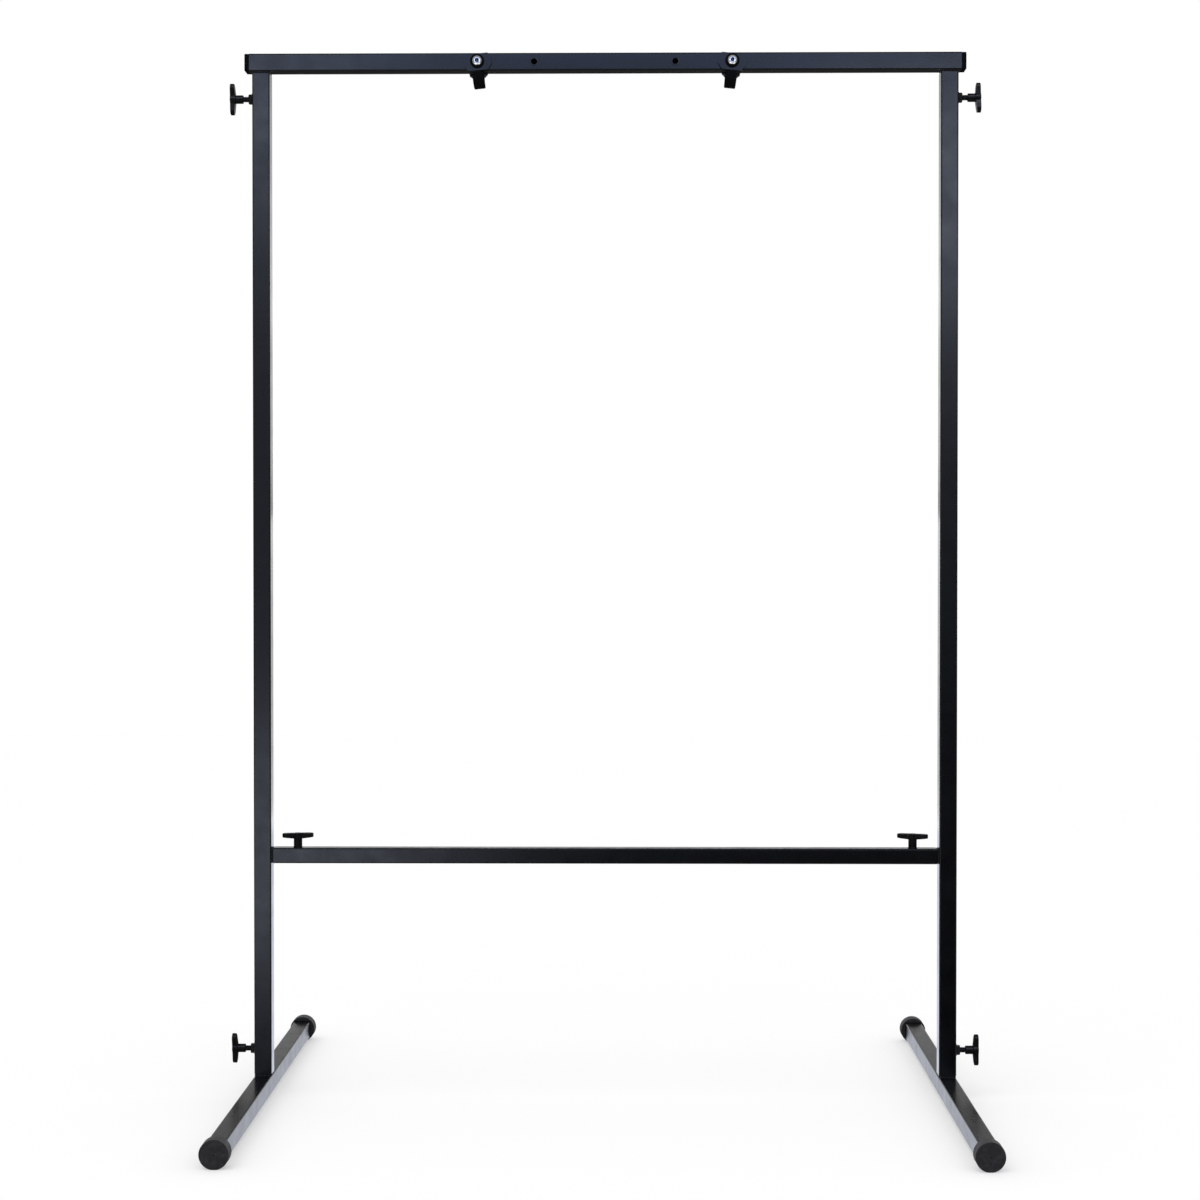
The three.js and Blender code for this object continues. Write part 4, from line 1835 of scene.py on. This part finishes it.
    def bolt(self) -> Form:
        """Makes the button-head bolt, with shade painted into its socket.

        Returns:
            The bolt's form, with the underside of its head at Z 0.
        """
        flat = self.socket_flats / 2 + self.head_rim
        rise = self.head_height - self.head_rim
        rings = [
            circle(self.shank - self.shank_chamfer, -self.shank_length),
            circle(self.shank, self.shank_chamfer - self.shank_length),
            circle(self.shank, 0.0),
            circle(self.head_radius - self.head_edge, 0.0),
            circle(self.head_radius, self.head_edge),
            circle(self.head_radius, self.head_rim * self.rim_share),
        ]
        for sine, cosine in quarter(9, 1):
            radius = flat + (self.head_radius - flat) * cosine
            rings.append(circle(radius, self.head_rim + rise * sine))
        socket = self.socket_flats
        mouth = socket / math.sqrt(3)
        floor = self.head_height - self.socket_depth
        trim = mouth * self.socket_trim
        point_radius, point_depth = self.socket_point
        rings += [
            circle(mouth + self.socket_edge, self.head_height),
            hexagon(socket, self.head_height - self.socket_lip, trim, trimmed=True),
            hexagon(socket, floor),
            circle(socket * self.socket_drill, floor),
            circle(point_radius, floor - point_depth),
        ]
        form = Form().loft(rings, self.steps)
        # Painted shade: the socket's sides get it fully and its drilled point a little less.
        sides, point = self.socket_grime
        inner, outer = self.grime_reach
        for vert in form.bm.verts:
            radius = vert.co.xy.length
            if vert.co.z > 0 and radius < mouth * outer:
                vert[form.grime] = sides if radius > socket * inner else point
        return form

    def build(self) -> None:
        """Makes both hangers."""
        for side in Side:
            bolt, washer = f"{side.word}_hanger_bolt", f"{side.word}_hanger_washer"
            head = Box.of(bolt).face(FRONT) - FRONT * self.head_height
            pivot = Vector((head.x, 0.0, head.z))
            back = Vector((head.x, Box.of(washer).high.y, head.z))
            self.strap_y = back.y + self.strap_gap + self.thickness / 2
            lean = Matrix.Rotation(math.radians(self.lean * side.value), 4, "Y")
            swing = Matrix.Translation(pivot) @ lean
            for node, form, made_of, place, crease in (
                (bolt, self.bolt(), "steel", seat(head, FRONT, X_AXIS), self.bolt_crease),
                (washer, self.washer(), "ring", seat(back, FRONT, X_AXIS), CREASE),
                (f"{side.word}_hanger_strap", self.strap(), "steel", swing, CREASE),
                (f"{side.word}_hook_sleeve", self.sleeve(), "vinyl", swing, self.sleeve_crease),
            ):
                self.shop.fit(form.finish(f"{node}_{made_of}", place, crease), node)


@dataclass(frozen=True)
class Lamp:
    """A soft rectangular lamp, or a card that only shows in shiny surfaces.

    `brightness` is how bright its face looks, where 1 is white. `only_on` holds the ends of the
    names of the pieces that it reaches, and is empty where it reaches them all.
    """

    name: str
    place: Sequence[float]
    aim: Sequence[float]
    size: tuple[float, float]
    brightness: float
    tint: Colour
    only_on: tuple[str, ...] = ()
    card: bool = True

    def hang(self) -> None:
        """Makes the lamp, after the pieces that it reaches."""
        data = bpy.data.lights.new(self.name, "AREA")
        data.shape = "RECTANGLE"
        data.size, data.size_y = self.size
        data.energy = self.brightness * math.pi * self.size[0] * self.size[1]
        data.color = self.tint
        lamp = bpy.data.objects.new(self.name, data)
        lamp.location = self.place
        towards = Vector(self.aim) - Vector(self.place)
        lamp.rotation_euler = towards.to_track_quat("-Z", "Y").to_euler()
        lamp.visible_camera = False
        lamp.visible_diffuse = not self.card
        bpy.context.scene.collection.objects.link(lamp)
        if self.only_on:
            reached = bpy.data.collections.new(f"reached by {self.name}")
            for piece in bpy.context.scene.objects:
                if piece.name.endswith(self.only_on):
                    reached.objects.link(piece)
            lamp.light_linking.receiver_collection = reached


@dataclass
class Studio:
    """The pale floor, the soft lamps, the world and the camera."""

    floor_size: float = 14.0
    floor_colour: Colour = (0.96, 0.96, 0.96)
    floor_shade: float = 0.985
    floor_roughness: float = 0.9
    floor_clouds: Pattern = Pattern(0.8)
    floor_lift: float = 0.4
    card_drop: float = 0.002
    ambient: float = 0.92
    white: Colour = (1.0, 1.0, 1.0)
    pale: Colour = (0.90, 0.94, 1.06)
    cool: Colour = (0.80, 0.87, 1.08)
    blue: Colour = (0.53, 0.83, 1.67)
    horizon: tuple[float, float] = (0.3, 0.8)
    front: tuple[float, float] = (-0.93, -0.76)
    slope: float = -0.5
    rise: tuple[float, float] = (-0.17, 0.04)
    low_tone: float = 0.0
    high_tone: float = 0.38
    side_tone: float = 0.25
    wall_foot: tuple[float, float] = (0.0, 0.05)
    wall_top: tuple[float, float] = (0.06, 0.26)
    wall_tone: float = 1.35
    under_tone: float = 0.05
    over_tone: float = 0.10
    camera_place: tuple[float, float, float] = (0.0344, -3.2373, 0.7604)
    camera_down: float = 0.866
    camera_left: float = 0.729
    lens: float = 68.10
    sensor: float = 36.0

    def camera(self) -> None:
        """Makes the camera at the photograph's angle."""
        data = bpy.data.cameras.new("camera")
        data.lens = self.lens
        data.sensor_width = self.sensor
        camera = bpy.data.objects.new("camera", data)
        camera.location = self.camera_place
        camera.rotation_euler = (
            math.radians(90 - self.camera_down),
            0.0,
            math.radians(self.camera_left),
        )
        bpy.context.scene.collection.objects.link(camera)
        bpy.context.scene.camera = camera

    def floor(self) -> None:
        """Makes the plain pale floor."""
        form = bmesh.new()
        bmesh.ops.create_grid(form, x_segments=2, y_segments=2, size=self.floor_size / 2)
        mesh = bpy.data.meshes.new("floor")
        form.to_mesh(mesh)
        form.free()
        floor = bpy.data.objects.new("floor", mesh)
        bpy.context.scene.collection.objects.link(floor)
        paint = Paint(
            "pale_floor", self.floor_colour, self.floor_roughness, metallic=0.0, specular=0.0
        )
        shade = tuple(value * self.floor_shade for value in self.floor_colour)
        clouds = paint.pattern(self.floor_clouds)
        paint.colour(paint.blend(clouds, self.floor_colour, shade))
        glow = paint.nodes.new("ShaderNodeEmission")
        glow.inputs["Strength"].default_value = 1.0
        seen = paint.nodes.new("ShaderNodeMath")
        seen.operation = "MULTIPLY"
        seen.inputs[1].default_value = self.floor_lift
        whole = paint.nodes.new("ShaderNodeMixShader")
        path = paint.nodes.new("ShaderNodeLightPath")
        paint.links.new(path.outputs["Is Camera Ray"], seen.inputs[0])
        paint.links.new(seen.outputs["Value"], whole.inputs["Fac"])
        paint.links.new(paint.shader.outputs["BSDF"], whole.inputs[1])
        paint.links.new(glow.outputs["Emission"], whole.inputs[2])
        paint.links.new(whole.outputs["Shader"], paint.nodes["Material Output"].inputs["Surface"])
        mesh.materials.append(paint.material)
        floor.visible_glossy = False

    def world(self) -> None:
        """Makes a surround that is white behind the object and dim on the camera's side."""
        world = bpy.data.worlds.new("studio")
        bpy.context.scene.world = world
        world.use_nodes = True
        nodes, links = world.node_tree.nodes, world.node_tree.links

        def background(strength: float, tint: Sequence[float] = (1.0, 1.0, 1.0)) -> bpy.types.Node:
            """Adds a surround of one strength.

            Args:
                strength: How bright it is, where 1 is white.
                tint: Its colour.

            Returns:
                The surround's node.
            """
            node = nodes.new("ShaderNodeBackground")
            node.inputs["Color"].default_value = (*tint, 1.0)
            node.inputs["Strength"].default_value = strength
            return node

        def math_node(kind: str, *values: bpy.types.NodeSocket | float) -> bpy.types.NodeSocket:
            """Adds one step of arithmetic.

            Args:
                kind: The operation.
                *values: What it works on, as sockets or numbers.

            Returns:
                The socket of the outcome.
            """
            node = nodes.new("ShaderNodeMath")
            node.operation = kind
            for socket, value in zip(node.inputs, values):
                if isinstance(value, bpy.types.NodeSocket):
                    links.new(value, socket)
                else:
                    socket.default_value = value
            return node.outputs["Value"]

        def ramp(value: bpy.types.NodeSocket, low: float, high: float) -> bpy.types.NodeSocket:
            """Rises smoothly from 0 to 1.

            Args:
                value: What it depends on.
                low: Where it begins to rise.
                high: Where it reaches 1.

            Returns:
                The socket of the ramp.
            """
            node = nodes.new("ShaderNodeMapRange")
            node.interpolation_type = "SMOOTHSTEP"
            node.inputs["From Min"].default_value = low
            node.inputs["From Max"].default_value = high
            links.new(value, node.inputs["Value"])
            return node.outputs["Result"]

        def mixed(
            factor: bpy.types.NodeSocket, first: bpy.types.Node, second: bpy.types.Node
        ) -> bpy.types.Node:
            """Mixes two surrounds.

            Args:
                factor: How much of the second there is.
                first: The surround where that is 0.
                second: The surround where it is 1.

            Returns:
                The mixed surround's node.
            """
            node = nodes.new("ShaderNodeMixShader")
            links.new(factor, node.inputs["Fac"])
            links.new(first.outputs[0], node.inputs[1])
            links.new(second.outputs[0], node.inputs[2])
            return node

        axes = nodes.new("ShaderNodeSeparateXYZ")
        links.new(nodes.new("ShaderNodeTexCoord").outputs["Generated"], axes.inputs["Vector"])
        path = nodes.new("ShaderNodeLightPath")
        behind = ramp(axes.outputs["Y"], *self.horizon)
        across = math_node("MULTIPLY_ADD", axes.outputs["X"], self.slope, axes.outputs["Z"])
        dim = mixed(
            ramp(across, *self.rise),
            background(self.low_tone, self.cool),
            background(self.high_tone, self.cool),
        )
        under, over = background(self.under_tone), background(self.over_tone)
        wall = mixed(ramp(axes.outputs["Z"], *self.wall_foot), under, background(self.wall_tone))
        wall = mixed(ramp(axes.outputs["Z"], *self.wall_top), wall, over)
        room = mixed(behind, background(self.side_tone), wall)
        room = mixed(ramp(axes.outputs["Y"], *self.front), dim, room)
        shiny = math_node(
            "MAXIMUM", path.outputs["Is Glossy Ray"], path.outputs["Is Transmission Ray"]
        )
        lit = mixed(shiny, background(self.ambient), room)
        whole = mixed(path.outputs["Is Camera Ray"], lit, background(1.0))
        links.new(whole.outputs["Shader"], nodes["World Output"].inputs["Surface"])

    def lamps(self) -> list[Lamp]:
        """Lists the lamps and the cards.

        Returns:
            All of them, none made yet.
        """
        high, low, top = (0.0, 0.0, 0.9), (0.0, 0.0, 0.4), (0.0, 0.0, 1.4)
        feet, uprights, bolts = ("foot_tube_steel",), ("upright_steel",), ("hanger_bolt_steel",)
        found = [
            Lamp("high_left", (-1.15, -3.6, 2.09), high, (0.9, 0.36), 3.4, self.cool, card=False),
            Lamp("high_right", (1.05, -3.6, 1.87), high, (0.9, 0.44), 4.5, self.cool, card=False),
            Lamp("high_middle", (0.0, -3.6, 2.55), high, (2.6, 0.5), 1.4, self.blue),
            Lamp("low_left", (-1.0, -3.4, -0.08), low, (0.9, 0.6), 2.6, self.cool),
            Lamp("back_card", (0.0, 2.5, 1.88), top, (1.0, 1.05), 0.6, self.white),
        ]
        for name, y, size, brightness, tint, reached in (
            ("floor_for_feet", 0.6, (6.0, 6.0), 1.05, self.pale, feet),
            ("floor_for_uprights", 1.8, (6.0, 3.6), 1.7, self.pale, uprights),
            ("floor_for_bolts", -1.4, (4.0, 2.4), 1.1, self.white, bolts),
        ):
            place = Y_AXIS * y - Z_AXIS * self.card_drop
            found.append(Lamp(name, place, place + Z_AXIS, size, brightness, tint, reached))
        for side in Side:
            name, size = f"{side.word}_wall_card", (0.34, 0.58)
            place = side.outwards * 0.31 + Y_AXIS + Z_AXIS * 0.56
            found.append(Lamp(name, place, place + FRONT, size, 1.3, self.white, uprights))
        place, size = (0.0, -3.0, 4.4), (3.4, 0.5)
        found.append(Lamp("knob_strip", place, top, size, 40.0, self.cool, ("knob_moulding",)))
        return found

    def sun(self, name: str, direction: Sequence[float], width: float, strength: float) -> None:
        """Adds a wide, even lamp far away.

        Args:
            name: The lamp's name.
            direction: Where it shines towards.
            width: How wide it looks, in degrees.
            strength: Its light on a surface that faces it, where pi makes white.
        """
        data = bpy.data.lights.new(name, "SUN")
        data.angle = math.radians(width)
        data.energy = strength
        lamp = bpy.data.objects.new(name, data)
        lamp.rotation_euler = Vector(direction).to_track_quat("-Z", "Y").to_euler()
        lamp.visible_glossy = False
        bpy.context.scene.collection.objects.link(lamp)

    def build(self) -> None:
        """Sets the whole stage round the finished pieces."""
        self.camera()
        self.floor()
        self.world()
        for lamp in self.lamps():
            lamp.hang()
        self.sun("soft_sun", direction=(0.35, 0.45, -1.0), width=40.0, strength=0.45)
        bpy.context.scene.view_settings.view_transform = "Standard"


def main() -> None:
    """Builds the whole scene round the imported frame."""
    logging.basicConfig(level=logging.INFO, format="%(name)s: %(message)s")
    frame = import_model()
    shop = Workshop(frame)
    for family in (SquareTubes, WeldBeads, FootCaps, EndPlugs, Nuts, WingKnobs, Hangers):
        family(shop).build()
    shop.dress_rest()
    Studio().build()


if __name__ == "__main__":
    main()
